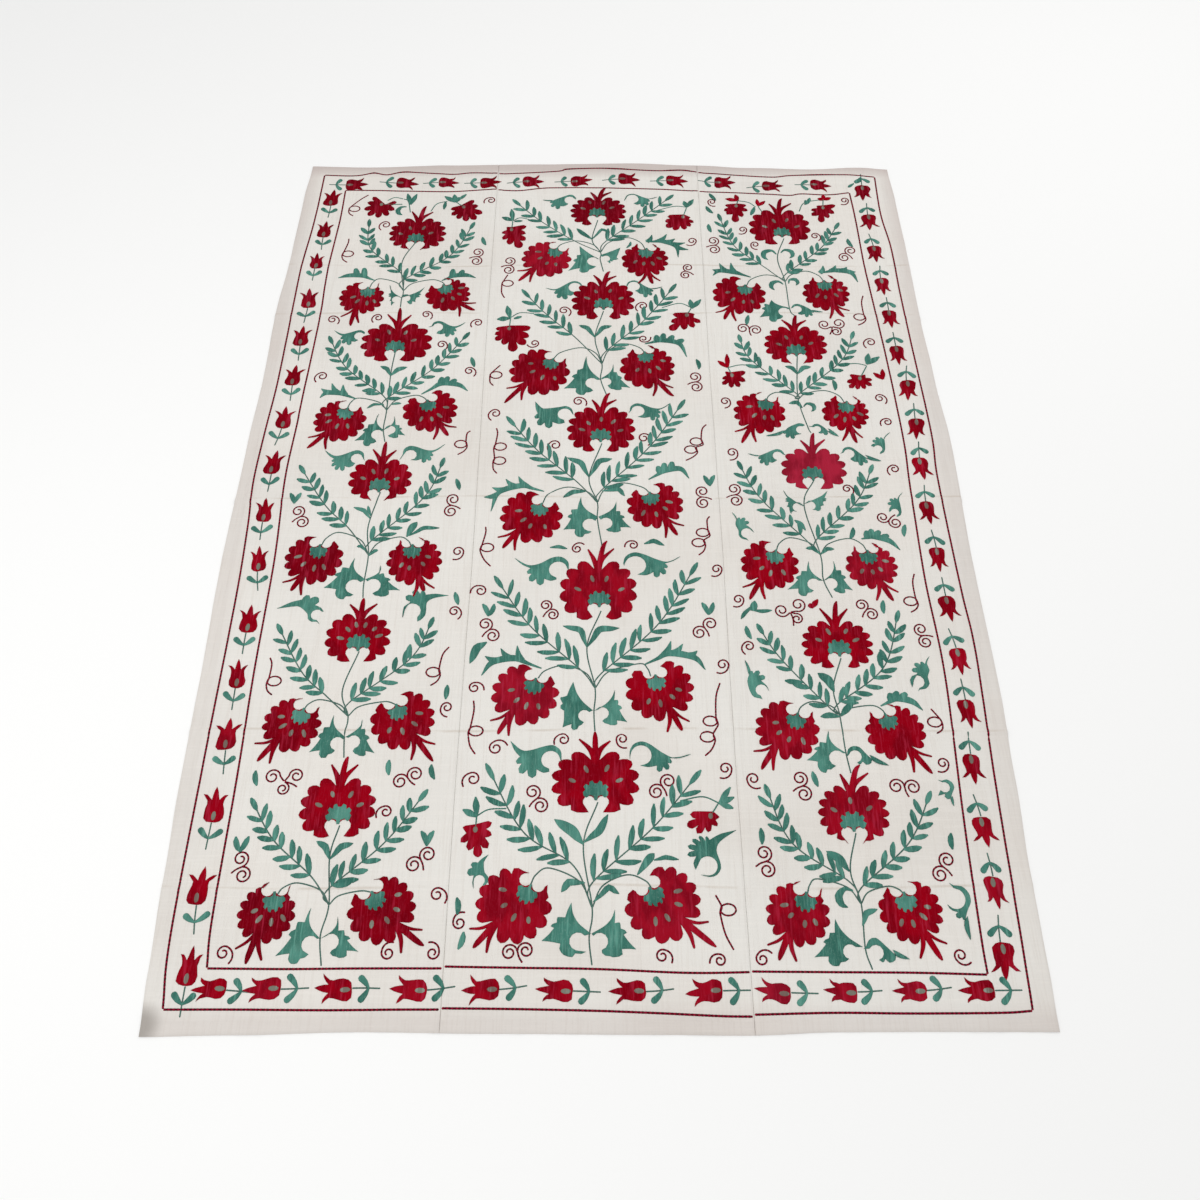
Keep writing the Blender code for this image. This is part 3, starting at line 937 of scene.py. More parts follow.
# Curved leaves: root, the point its belly passes through, tip, and its widest width. The stitches of a wide
# one show as rows.
ROWS_FROM = 0.013
CURVED_LEAVES = laid_out("root belly tip width", (
    ((-15, 780), (-40, 802), (-55, 819), 10), ((-15, 783), (8, 815), (28, 806), 7),
    ((-8, 456), (-26, 485), (-46, 494), 10), ((-8, 458), (10, 486), (31, 492), 10),
    ((-20, 56), (-38, 94), (-68, 108), 11), ((-19, 58), (2, 98), (30, 105), 11),
    ((-22, -352), (-35, -315), (-70, -305), 10.5), ((-21, -351), (3, -313), (42, -310), 11.5),
    ((-26, -744), (-47, -719), (-79, -698), 16), ((-25, -740), (2, -719), (18, -689), 12),
    ((-475, 340), (-485, 360), (-501, 368), 9), ((-475, 340), (-460, 358), (-439, 365), 10),
    ((-480, -50), (-495, -30), (-518, -22), 8), ((-479, -44), (-485, -30), (-488, -18), 6),
    ((-475, -770), (-485, -748), (-502, -738), 10), ((-474, -770), (-457, -748), (-436, -742), 10),
    ((454, 345), (445, 362), (429, 368), 9), ((455, 345), (470, 363), (488, 366), 10),
    ((433, -80), (425, -64), (412, -54), 8), ((453, -448), (444, -423), (425, -408), 15),
    ((442, -792), (427, -770), (405, -756), 13), ((-25, 20), (-54, 17), (-75, 2), 10),
    ((8, 20), (44, 24), (56, 6), 9), ((-23, -812), (-51, -811), (-64, -828), 11),
    ((-8, -845), (19, -820), (37, -831), 9), ((-535, 295), (-520, 296), (-504, 294), 12),
    ((-465, 256), (-454, 259), (-443, 259), 6), ((-480, -130), (-492, -118), (-500, -120), 7),
    ((-473, -142), (-462, -130), (-455, -129), 7), ((457, 246), (446, 262), (428, 259), 9),
    ((458, -138), (443, -123), (429, -124), 8), ((459, -138), (474, -125), (488, -126), 8),
    ((459, -499), (439, -496), (421, -499), 10), ((460, -498), (472, -484), (488, -468), 11),
    ((454, -885), (463, -864), (483, -857), 9), ((-219, -341), (-238, -354), (-250, -388), 14),
    ((664, 985), (675, 995), (680, 1008), 10), ((660, 985), (649, 976), (643, 970), 7),
    ((95, -113), (115, -106), (137, -117), 9), ((-399, -96), (-390, -73), (-380, -59), 13),
    ((-394, -93), (-365, -74), (-332, -74), 8), ((69, -798), (90, -770), (100, -760), 12),
    ((99, -772), (120, -767), (143, -771), 7), ((69, 750), (78, 760), (80, 772), 6),
    ((-482, 256), (-504, 256), (-519, 245), 6), ((312, -257), (293, -276), (284, -290), 7),
    ((310, -270), (328, -272), (348, -270), 7), ((303, -269), (311, -264), (315, -248), 13),
    ((-100, -122), (-82, -120), (-64, -125), 7),
))
for leaf in CURVED_LEAVES:
    root, belly, tip = Vector(leaf.root), Vector(leaf.belly), Vector(leaf.tip)
    lower = root.lerp(belly, 0.5)
    knots = [
        (*root, 0.0022),
        (*lower, 0.86 * leaf.width),
        (*belly, 1.22 * leaf.width),
        (*belly.lerp(tip, 0.6), 0.92 * leaf.width),
        (*tip, POINT_WIDTH),
    ]
    work_solid(hoops, stroke(*knots), shade(leaf.tip[1]), rows=leaf.width > ROWS_FROM)

# Hooked leaves: crescents that curl over and back toward the stem, from a start angle through a sweep.
HOOKED_LEAVES = laid_out("x y radius width start sweep", (
    (422, 725, 16.5, 11.5, 10.0, 240.0), (464, 729, 15, 10, 165.0, -235.0),
    (432, 621, 15.5, 10.5, 20.0, 220.0), (471, 633, 11.5, 9, 200.0, -260.0),
    (434, -838, 16, 12, 50.0, 215.0), (472, 247, 12, 9, 170.0, -240.0), (-494, 883, 15.5, 11, 70.0, 190.0),
), "start sweep")
for leaf in HOOKED_LEAVES:
    knots = []
    for share, wide in HOOK_TAPER:
        angle = math.radians(leaf.start + share * leaf.sweep)
        spot = (leaf.x + leaf.radius * math.cos(angle), leaf.y + leaf.radius * math.sin(angle))
        knots.append((*spot, wide * leaf.width))
    work_solid(hoops, stroke(*knots), shade(leaf.y), rows=False)


def joined_runs(*runs):
    """An outline from smooth runs that meet at sharp corners."""
    outline = []
    for run in runs:
        line = smooth_line([(*spot, 0.0) for spot in run], STROKE_PITCH)
        outline += [tuple(point.xy) for point in line[:-1]]
    return outline


# Split leaves at the foot of a stem: a spike up, lobes on the outer side, a pointed toe, and a heel that
# curls in under an open round bay beside the stem. Hollows and soles are shares of the bay's radius, and
# the farthest leaves are hardly hollow along the back.
FULL_HOLLOW = 0.62
SLIM_HOLLOW = 0.15
SLIM_FROM = 0.74
LEFT_SOLE = 0.95
RIGHT_SOLE = 0.60
BACK_HOLLOWS = ((0.36, 1.0), (0.66, 1.1), (0.87, 0.5))
SPLIT_LEAVES = laid_out("root spike lobe toe heel bay radius", (
    ((1, 711), (-47, 756), (-53, 724), (-74, 672), (-6, 687), (-14, 704), 14.5),
    ((4, 725), (54, 751), (48, 713), (33, 702), (23, 704), (18, 713), 10.5),
    ((6, 328), (-28, 398), (-48, 356), (-78, 302), (-12, 296), (-15, 318), 15),
    ((6, 332), (34, 374), (42, 349), (72, 304), (24, 305), (18, 322), 11.5),
    ((-2, -45), (-37, 3), (-57, -29), (-73, -78), (-14, -83), (-18, -66), 15.5),
    ((0, -46), (38, -8), (46, -33), (68, -73), (16, -78), (16, -62), 14),
    ((-10, -486), (-48, -427), (-72, -460), (-67, -521), (-27, -510), (-26, -497), 12),
    ((-7, -487), (32, -444), (38, -466), (55, -510), (8, -508), (8, -492), 12.5),
    ((-12, -898), (-46, -846), (-70, -872), (-96, -910), (-20, -928), (-34, -911), 15),
    ((-11, -898), (29, -858), (38, -881), (65, -924), (7, -930), (3, -911), 14.5),
    ((-472, 582), (-504, 624), (-504, 595), (-500, 572), (-490, 566), (-484, 576), 11),
    ((-471, 584), (-420, 616), (-427, 594), (-438, 568), (-457, 568), (-462, 580), 11.5),
    ((-476, 184), (-490, 229), (-510, 198), (-536, 154), (-488, 152), (-488, 171), 13.5),
    ((-474, 185), (-455, 222), (-441, 196), (-426, 169), (-464, 168), (-460, 184), 11.5),
    ((-474, -198), (-501, -148), (-524, -172), (-556, -218), (-494, -234), (-496, -215), 16.5),
    ((-474, -198), (-446, -167), (-437, -186), (-401, -224), (-456, -231), (-457, -213), 16),
    ((-474, -540), (-501, -496), (-516, -522), (-538, -570), (-491, -568), (-488, -553), 13),
    ((-474, -540), (-446, -505), (-438, -526), (-416, -572), (-457, -568), (-458, -550), 13),
    ((-474, -906), (-496, -855), (-516, -880), (-546, -935), (-490, -932), (-490, -916), 14.5),
    ((-473, -906), (-448, -870), (-434, -894), (-406, -928), (-454, -930), (-455, -912), 14),
    ((456, 549), (414, 575), (396, 561), (382, 519), (436, 519), (441, 536), 14),
    ((457, -201), (432, -155), (415, -180), (383, -222), (436, -224), (438, -210), 14),
    ((458, -201), (483, -155), (496, -178), (515, -224), (476, -222), (473, -208), 13),
    ((436, -19), (395, 21), (398, -1), (399, -20), (411, -31), (422, -22), 11),
    ((436, -13), (489, 20), (484, -1), (478, -17), (460, -29), (450, -18), 10.5),
    ((462, -572), (433, -528), (414, -552), (387, -586), (435, -600), (444, -582), 15.5),
    ((450, -920), (408, -874), (396, -898), (366, -937), (424, -940), (428, -928), 12.5),
))
for leaf in SPLIT_LEAVES:
    root, spike, lobe, toe, heel, bay = [Vector(spot) for spot in leaf[:6]]
    up = Vector((0.0, leaf.radius))
    out = Vector((leaf.radius if toe.x > bay.x else -leaf.radius, 0.0))
    arc = petal_arc(bay, out.x, up.y, 140, -75, 7)
    hollow = SLIM_HOLLOW if leaf.spike[1] > SLIM_FROM else FULL_HOLLOW
    low = LEFT_SOLE if out.x < 0.0 else RIGHT_SOLE
    sole = heel.lerp(toe, 0.24) - 0.46 * up
    pads = [heel.lerp(toe, share) - drop * up for share, drop in ((0.31, low), (0.50, low), (0.60, 0.4))]
    cleft = heel.lerp(toe, 0.58) + 0.20 * up
    low_notch = toe.lerp(lobe, 0.56) - 0.42 * out
    tooth = [toe.lerp(lobe, 0.64) + 0.12 * out, toe.lerp(lobe, 0.74) + 0.08 * out]
    tooth_end = toe.lerp(lobe, 0.80) - 0.30 * out
    knob = [lobe - 0.16 * up + 0.04 * out, lobe + 0.10 * up - 0.04 * out, lobe + 0.10 * up - 0.30 * out]
    notch = lobe.lerp(spike, 0.28) - 0.46 * out - 0.42 * up
    back = [spike.lerp(root, share) + deep * hollow * out for share, deep in BACK_HOLLOWS]
    outline = joined_runs(
        (root, *arc, heel),
        (heel, heel.lerp(toe, 0.10) - 0.34 * up, sole),
        (sole, *pads, cleft),
        (cleft, heel.lerp(toe, 0.80) + 0.14 * up, toe),
        (toe, toe.lerp(lobe, 0.26) - 0.30 * out, low_notch),
        (low_notch, *tooth, tooth_end),
        (tooth_end, *knob, notch),
        (notch, lobe.lerp(spike, 0.62) - 0.20 * out - 0.14 * up, spike),
        (spike, *back, root),
    )
    work_solid(hoops, outline, shade(toe.y))

# Arched leaves: a thin arm from the root arches over a round bay, past its crest, into a body with round
# lobes below, a long tip that turns up, and a heel that comes back under the bay.
ARCHED_LEAVES = laid_out("root bay radius crest body tip heel depth lobes", (
    ((-58, 925), (-74, 922), 13.5, (-75, 942), (-103, 918), (-142, 922), (-79, 906), 24, 3),
    ((65, 919), (86, 926), 16, (88, 945), (112, 924), (150, 934), (92, 908), 22, 3),
    ((-44, 612), (-57, 616), 15.5, (-64, 636), (-86, 608), (-127, 614), (-60, 594), 26, 3),
    ((68, 616), (85, 620), 15, (87, 639), (113, 610), (154, 618), (93, 602), 22, 3),
    ((-56, 226), (-75, 228), 16, (-80, 251), (-114, 230), (-142, 264), (-75, 204), 34, 3),
    ((68, 232), (88, 237), 15, (89, 259), (120, 237), (162, 260), (88, 221), 22, 3),
    ((-60, -178), (-82, -175), 19, (-86, -144), (-119, -174), (-172, -148), (-85, -198), 31, 3),
    ((53, -166), (76, -165), 22, (80, -134), (120, -162), (169, -144), (88, -188), 26, 3),
    ((-68, -593), (-88, -585), 17.5, (-93, -556), (-124, -580), (-164, -548), (-90, -608), 33, 3),
    ((59, -584), (80, -576), 19.5, (88, -550), (118, -581), (173, -574), (78, -596), 23, 3),
    ((-549, 466), (-560, 460), 12, (-564, 478), (-584, 460), (-620, 477), (-562, 447), 23, 3),
    ((-400, 488), (-378, 488), 12.5, (-374, 507), (-352, 484), (-314, 503), (-380, 469), 22, 3),
    ((-508, 100), (-526, 106), 13, (-530, 128), (-558, 104), (-598, 128), (-532, 86), 26, 4),
    ((-432, 102), (-410, 115), 14, (-406, 140), (-378, 120), (-336, 145), (-406, 102), 21, 3),
    ((408, 115), (391, 113), 11.5, (389, 131), (365, 111), (326, 119), (384, 98), 20, 3),
    ((528, 119), (547, 119), 12, (548, 137), (569, 112), (614, 99), (548, 104), 21, 3),
    # Those that spring from the foot of a stem on the right
    ((458, 548), (473, 545), 11, (477, 562), (496, 542), (532, 536), (474, 529), 19, 3),
    ((458, 197), (448, 184), 11, (442, 202), (424, 183), (370, 167), (436, 170), 20, 3),
    ((466, 194), (484, 186), 9, (484, 201), (499, 186), (529, 166), (486, 176), 14, 2),
    ((463, -578), (478, -578), 12, (481, -558), (495, -577), (537, -596), (483, -594), 16, 1),
    ((451, -923), (472, -929), 12.5, (474, -905), (490, -927), (526, -940), (480, -945), 17, 1),
    # Loose ones in the ground between the plants
    ((-554, -301), (-562, -280), 12, (-580, -286), (-588, -259), (-644, -266), (-549, -273), 25, 2),
    ((-360, -295), (-373, -272), 18, (-345, -279), (-356, -250), (-302, -236), (-390, -286), 28, 3),
    ((314, -463), (314, -444), 12, (292, -448), (297, -423), (286, -381), (328, -446), 22, 3),
    ((614, -446), (616, -426), 13.5, (639, -424), (634, -402), (647, -372), (604, -437), 21, 3),
    ((628, -46), (626, -34), 8.5, (640, -33), (633, -13), (649, 16), (614, -33), 16, 3),
    ((312, -105), (310, -87), 12.5, (292, -89), (295, -64), (282, -35), (325, -85), 18, 3),
    ((614, 118), (612, 132), 9.5, (627, 129), (622, 148), (644, 177), (597, 140), 17, 3),
    ((181, -798), (194, -782), 17, (217, -779), (197, -756), (248, -718), (172, -789), 32, 5),
    ((614, -812), (620, -839), 18, (646, -832), (632, -862), (635, -908), (608, -856), 14, 2),
    ((624, -624), (634, -638), 10, (651, -633), (642, -650), (645, -673), (620, -654), 11, 1),
    ((-199, -823), (-208, -808), 10, (-194, -799), (-208, -788), (-194, -762), (-217, -822), 19, 2),
), "lobes")
ARM_WIDTH = 0.0028
# Angles about the bay, in degrees from the body's side: where its edge starts and where the arm's does
BAY_START = -72.0
ARM_START = 62.0
# The lobes, from an angle below the body through a sweep. Each has its stations and their reach.
LOBES_START = 14.0
LOBES_SWEEP = 118.0
LOBE = ((0.22, 1.0), (0.50, 1.10), (0.78, 1.0), (1.0, 0.70))
for leaf in ARCHED_LEAVES:
    root, bay, crest, body, tip, heel = [
        Vector(spot) for spot in (leaf.root, leaf.bay, leaf.crest, leaf.body, leaf.tip, leaf.heel)
    ]
    up = (crest - bay).normalized()
    out = Vector((up.y, -up.x))
    if out.dot(body - bay) < 0.0:
        out = -out
    away = root - bay
    root_angle = math.degrees(math.atan2(away.dot(up), away.dot(out))) % 360.0
    springing = min(root_angle - 14.0, 180.0)
    high = (crest - bay).length
    inner = []
    outer = []
    for step in range(8):
        degrees = BAY_START + (springing - BAY_START) * step / 7.0
        angle = math.radians(degrees)
        ray = out * math.cos(angle) + up * math.sin(angle)
        inner.append(bay + ray * leaf.radius)
        swell = max(0.0, math.sin(math.radians(min(90.0, max(0.0, 180.0 - degrees)))))
        if degrees > ARM_START:
            outer.append(bay + ray * (leaf.radius + ARM_WIDTH + (high - leaf.radius - ARM_WIDTH) * swell))
    tail = (tip - body).length
    shoulder = body + up * 0.42 * leaf.depth
    armpit = body + out * 0.62 * leaf.depth + up * 0.14 * leaf.depth
    runs = [
        (root, *outer[::-1], shoulder, shoulder.lerp(tip, 0.48) - up * 0.16 * tail, tip),
        (tip, tip.lerp(armpit, 0.55) - up * 0.02 * tail + out * 0.05 * tail, armpit),
    ]
    last = armpit
    for lobe in range(leaf.lobes):
        ends = []
        for share, reach in LOBE:
            angle = math.radians(LOBES_START - LOBES_SWEEP * (lobe + share) / leaf.lobes)
            ray = out * math.cos(angle) + up * math.sin(angle)
            ends.append(body + ray * leaf.depth * reach * (0.78 - 0.34 * math.sin(angle)))
        runs.append((last, *ends))
        last = ends[-1]
    runs.append((last, last.lerp(heel, 0.5) - up * 0.14 * leaf.depth, heel))
    runs.append((heel, *inner, root))
    work_solid(hoops, joined_runs(*runs), shade(tip.y))

# Toothed leaves that arch over the hanging flowers. Their teeth are pointed flames or round lobes.
TOOTHED_LEAVES = laid_out("root peak shoulder tip teeth round", (
    ((117, 772), (158, 774), (192, 756), (196, 718), ((133, 796), (170, 798), (190, 782), (215, 768),
     (222, 744)), False),
    ((108, 436), (148, 447), (188, 437), (204, 396), ((136, 460), (153, 466), (174, 460),
     (197, 448)), True),
    ((-116, 19), (-165, 34), (-212, 16), (-227, -32), ((-172, 58), (-199, 51), (-227, 29),
     (-243, 3)), False),
    ((108, 50), (145, 74), (178, 78), (195, 53), ((129, 83), (143, 92), (160, 95)), True),
    ((-110, -398), (-165, -376), (-206, -385), (-226, -413), ((-159, -349), (-191, -355),
     (-221, -372)), False),
    ((90, -390), (140, -365), (188, -375), (208, -401), ((143, -339), (166, -345), (194, -360)), False),
    ((-542, 639), (-576, 656), (-608, 656), (-632, 648), ((-572, 679), (-593, 677)), True),
    ((-380, 639), (-350, 656), (-321, 657), (-298, 648), ((-355, 676), (-331, 672)), True),
    ((-546, 272), (-585, 289), (-615, 289), (-628, 275), ((-580, 313), (-606, 317), (-628, 301)), False),
    ((-400, 285), (-356, 317), (-318, 313), (-296, 295), ((-357, 333), (-343, 335), (-326, 327)), True),
    ((370, 650), (330, 667), (295, 672), (278, 656), ((324, 699), (296, 697), (278, 676)), False),
    ((539, 664), (580, 673), (615, 665), (628, 634), ((549, 689), (580, 690), (607, 684),
     (626, 668)), False),
    ((547, -101), (574, -95), (605, -106), (624, -128), ((560, -83), (571, -79), (586, -83),
     (602, -93)), True),
    ((538, -477), (572, -461), (600, -468), (617, -486), ((559, -453), (573, -449), (589, -452)), True),
), "round")
for leaf in TOOTHED_LEAVES:
    tone = shade(leaf.tip[1])
    root, peak, shoulder, tip = [Vector(spot) for spot in leaf[:4]]
    neck = root.lerp(peak, 0.5)
    spine = [(*root, 0.0024), (*neck, 0.0070), (*peak, 0.0135), (*shoulder, 0.0120), (*tip, 0.0016)]
    work_solid(hoops, stroke(*spine), tone)
    line = smooth_line([knot[:2] for knot in spine], 0.003)
    for tooth in leaf.teeth:
        tooth = Vector(tooth)
        nearest = min(range(len(line)), key=lambda step: (line[step] - tooth).length)
        base = line[max(0, nearest - (2 if leaf.round else 5))]
        if leaf.round:
            blade = [(*base, 0.0140), (*base.lerp(tooth, 0.55), 0.0150), (*base.lerp(tooth, 0.86), 0.0115)]
        else:
            ahead = line[min(len(line) - 1, nearest + 1)]
            blade = [(*base, 0.0120), (*base.lerp(tooth, 0.45).lerp(ahead, 0.25), 0.0115), (*tooth, 0.0014)]
        work_solid(hoops, stroke(*blade), tone, rise=1.06 * FILL_RISE, rows=False)

# Small leaves and hearts beside the scrolls: where each stands, and whether it is one leaf or a pair.
SPRIGS = laid_out("x y leaves", (
    (-220, -268, 2), (220, -265, 2), (-244, -852, 1), (-234, -909, 1), (239, 48, 2), (228, 374, 1),
    (-635, -742, 2), (-305, -732, 2), (-628, -620, 1), (-386, -600, 1), (-304, -608, 1), (-285, -242, 1),
    (-291, -448, 1), (-645, 2, 2), (-301, 38, 1), (-289, 381, 1), (-284, 775, 1), (292, -729, 1),
    (631, -738, 1), (298, -319, 1), (572, -262, 1), (399, -622, 1), (640, -80, 1), (528, -86, 1),
    (352, 510, 1), (535, 312, 1), (292, 936, 1), (282, 889, 1), (279, 820, 1), (625, 769, 1), (390, 882, 1),
    (532, 920, 1),
), "leaves")
SPRIG_LENGTH = 0.030
SPRIG_WIDTH = 0.0105
for sprig in SPRIGS:
    leans = (-24.0, 22.0) if sprig.leaves == 2 else (chance.uniform(-35.0, 35.0),)
    for lean in leans:
        turn = math.radians(90.0 - lean)
        way = (math.cos(turn), math.sin(turn))
        start = (sprig.x - 0.014 * way[0] * (sprig.leaves == 1), sprig.y - 0.5 * SPRIG_LENGTH)
        work_leaf(hoops, start, way, SPRIG_LENGTH, SPRIG_WIDTH, chance.uniform(-0.1, 0.1))
finish_group("leaves", hoops, [teal])

# ---------------------------------------------------------------- The flowers
# Great carnations on the stems and smaller ones hanging from the stalks: a scalloped crimson head whose
# lowest petals curl in round two open bays, a crown of three spikes, a teal calyx, and grey oval hearts.
# Tone tells one lot of dyed thread from another.
FLOWER_COLUMNS = "x y width height calyx_x calyx_y tip_x tip_y tone hearts"
GREAT_FLOWERS = laid_out(FLOWER_COLUMNS, (
    (-1, 882, 140, 105, -4, 876, 18, 966, -0.7, 4), (11, 575, 150, 125, 12, 562, 28, 669, -0.4, 4),
    (6, 187, 150, 127, 5, 169, 26, 288, -0.2, 5), (0, -222, 155, 140, 2, -244, 18, -106, 0.1, 4),
    (-5, -626, 160, 120, -4, -644, -6, -530, 0.0, 4), (-452, 802, 141, 110, -455, 784, -438, 899, -0.6, 4),
    (-471, 442, 165, 120, -472, 428, -472, 549, -0.4, 4),
    (-469, 52, 135, 108, -469, 35, -466, 151, -0.2, 4),
    (-474, -330, 128, 109, -471, -342, -472, -242, -0.1, 6),
    (-472, -675, 137, 114, -468, -688, -464, -579, 0.0, 4),
    (454, 825, 152, 126, 458, 805, 468, 928, -0.5, 4), (459, 435, 145, 114, 458, 416, 468, 524, -0.2, 4),
    (466, 80, 140, 110, 462, 66, 475, 175, 0.7, 0), (470, -345, 139, 106, 472, -354, 479, -249, 0.0, 4),
    (462, -685, 127, 105, 459, -702, 484, -595, 0.1, 3),
), "tone hearts")
HANGING_FLOWERS = laid_out(FLOWER_COLUMNS, (
    (-128, 712, 133, 115, -108, 734, -194, 638, 0.2, 4), (114, 708, 124, 110, 116, 732, 132, 629, -0.4, 4),
    (-135, 352, 150, 132, -110, 375, -211, 260, -0.3, 4), (112, 365, 129, 128, 109, 395, 170, 280, -0.3, 4),
    (-141, -45, 139, 129, -125, -28, -198, -124, -0.1, 4), (120, -15, 128, 116, 112, 0, 165, -92, -0.2, 4),
    (-140, -452, 136, 128, -124, -436, -188, -535, 0.25, 4),
    (118, -442, 138, 130, 112, -429, 158, -528, 0.0, 4),
    (-146, -850, 146, 122, -124, -831, -212, -922, 0.1, 4),
    (112, -848, 149, 120, 98, -835, 201, -920, 0.2, 4),
    (-568, 583, 112, 107, -555, 600, -584, 492, -0.4, 4),
    (-362, 592, 119, 100, -368, 610, -294, 542, -0.4, 4),
    (-575, 210, 124, 114, -566, 230, -638, 134, -0.3, 4),
    (-377, 240, 131, 119, -382, 252, -331, 168, -0.3, 4),
    (-585, -150, 127, 118, -578, -132, -622, -225, -0.5, 4),
    (-378, -155, 120, 112, -385, -132, -352, -226, -0.2, 4),
    (-578, -515, 116, 110, -564, -498, -632, -588, -0.3, 4),
    (-370, -505, 126, 122, -380, -490, -306, -588, -0.2, 4),
    (-572, -865, 106, 98, -562, -845, -594, -948, -0.6, 4),
    (-374, -858, 127, 113, -386, -842, -296, -918, -0.4, 4),
    (338, 592, 138, 122, 352, 608, 298, 512, -0.3, 4), (547, 597, 122, 108, 546, 622, 582, 520, -0.3, 4),
    (360, 232, 122, 114, 375, 255, 315, 148, -0.1, 4), (552, 232, 121, 92, 555, 248, 568, 148, 0.0, 4),
    (352, -162, 128, 115, 364, -145, 305, -245, 0.0, 4),
    (560, -168, 112, 105, 556, -146, 594, -248, 0.2, 4),
    (356, -525, 128, 118, 374, -508, 302, -604, 0.1, 4),
    (559, -530, 120, 109, 548, -510, 616, -612, -0.1, 0),
    (345, -865, 117, 108, 360, -845, 306, -942, 0.1, 4),
    (540, -860, 114, 111, 534, -845, 582, -942, 0.0, 4),
), "tone hearts")
# A scallop's depth and its points as shares of it, the open bays beside the stalk, how high each kind of
# stitching stands, and the hearts beyond the calyx: half sizes, how far out, and how clear of the cup.
SCALLOP_DEPTH = 0.175
SCALLOP_SHARES = (0.0, 0.10, 0.27, 0.50, 0.73, 0.90)
BAY_OUT = 0.0125
BAY_DOWN = 0.0215
BAY_RADIUS = 0.0113
GREAT_RISE = 0.0012
CALYX_RISE = 0.0017
HEART_RISE = 0.0016
HEART_LENGTH = 0.0080
HEART_WIDTH = 0.0044
HEARTS_OUT = 0.265
HEARTS_CLEAR = 0.006
RED, CALYX, GREY = range(3)
# One half of a calyx, from the stalk round its scalloped cup to the top, in shares of its half size
CUP = (
    (0.10, -1.00), (0.20, -0.62), (0.48, -0.50), (0.75, -0.72), (0.98, -0.58), (1.06, -0.18), (0.86, 0.06),
    (1.00, 0.36), (0.82, 0.66), (0.56, 0.50), (0.52, 0.88), (0.28, 1.02), (0.12, 0.72),
)
HANGING_CUP = (
    (0.10, -1.00), (0.20, -0.62), (0.48, -0.50), (0.78, -0.56), (1.00, -0.34), (1.04, -0.06), (0.82, 0.14),
    (0.92, 0.44), (0.70, 0.68), (0.50, 0.46), (0.44, 0.86), (0.22, 1.02), (0.10, 0.72),
)


def swung(point, turn):
    """A point turned about the origin by an angle in degrees."""
    away = math.radians(turn)
    return (
        point[0] * math.cos(away) - point[1] * math.sin(away),
        point[0] * math.sin(away) + point[1] * math.cos(away),
    )


# How one side of a head is drawn: the corner of its lowest petal from the calyx, that petal's edge as shares
# of its arc and of the head, its share of the arc beside a scallop's, the scallops, and how full the lower
# and upper corners are (2 is round).
HeadSide = namedtuple("HeadSide", "corner hook petal breadth scallops lower upper")
GREAT_PETAL = ((0.25, 0.97), (0.50, 0.99), (0.80, 0.97))
GREAT_SIDE = HeadSide((0.0130, -0.0410), 50.0, GREAT_PETAL, 1.10, 6, 2.6, 2.15)
OUTER_SIDE = HeadSide((0.0115, -0.0345), 52.0, ((0.35, 0.91), (0.62, 0.96), (0.86, 0.95)), 1.35, 6, 2.0, 2.0)
INNER_SIDE = HeadSide((0.0266, -0.0285), 12.0, ((0.40, 0.92), (0.80, 0.92)), 0.90, 6, 2.0, 2.0)
CROWN_ANGLE = 76.0
CROWN_NOTCH = (0.085, 0.64)
# Each spike of the crown is laid over the one before it, and the middle one over both.
SPIKE_STEP = 0.00008
MIDDLE_STEP = 0.0003


def head_side(form, wide, high, calyx, turn):
    """One side of a head: from its stalk round a bay, the lowest petal and the scallops to the crown."""
    middle = Vector(calyx) + Vector(swung((BAY_OUT, -BAY_DOWN), turn))
    side = petal_arc(middle, BAY_RADIUS, BAY_RADIUS, 150 + turn, turn - form.hook, 6)
    corner = Vector(calyx) + Vector(swung(form.corner, turn))
    side.append(tuple(corner))
    start = math.degrees(math.atan2(corner.y / high, corner.x / wide))
    arc = (CROWN_ANGLE - start) / (form.scallops - 1 + form.breadth)
    edge = [(start + share * form.breadth * arc, reach) for share, reach in form.petal]
    slant = chance.uniform(-0.05, 0.05)
    for scallop in range(form.scallops - 1):
        depth = SCALLOP_DEPTH * chance.uniform(0.85, 1.15)
        for share in SCALLOP_SHARES:
            spread = form.breadth + scallop + share + slant * math.sin(math.pi * share)
            edge.append((start + spread * arc, 1.0 - depth * (1.0 - math.sin(math.pi * share) ** 0.8)))
    for degrees, reach in edge:
        across, along = math.cos(math.radians(degrees)), math.sin(math.radians(degrees))
        square = form.lower if along < 0.0 else form.upper
        reach *= (abs(across) ** square + abs(along) ** square) ** (-1.0 / square)
        side.append((reach * wide * across, reach * high * along))
    return side


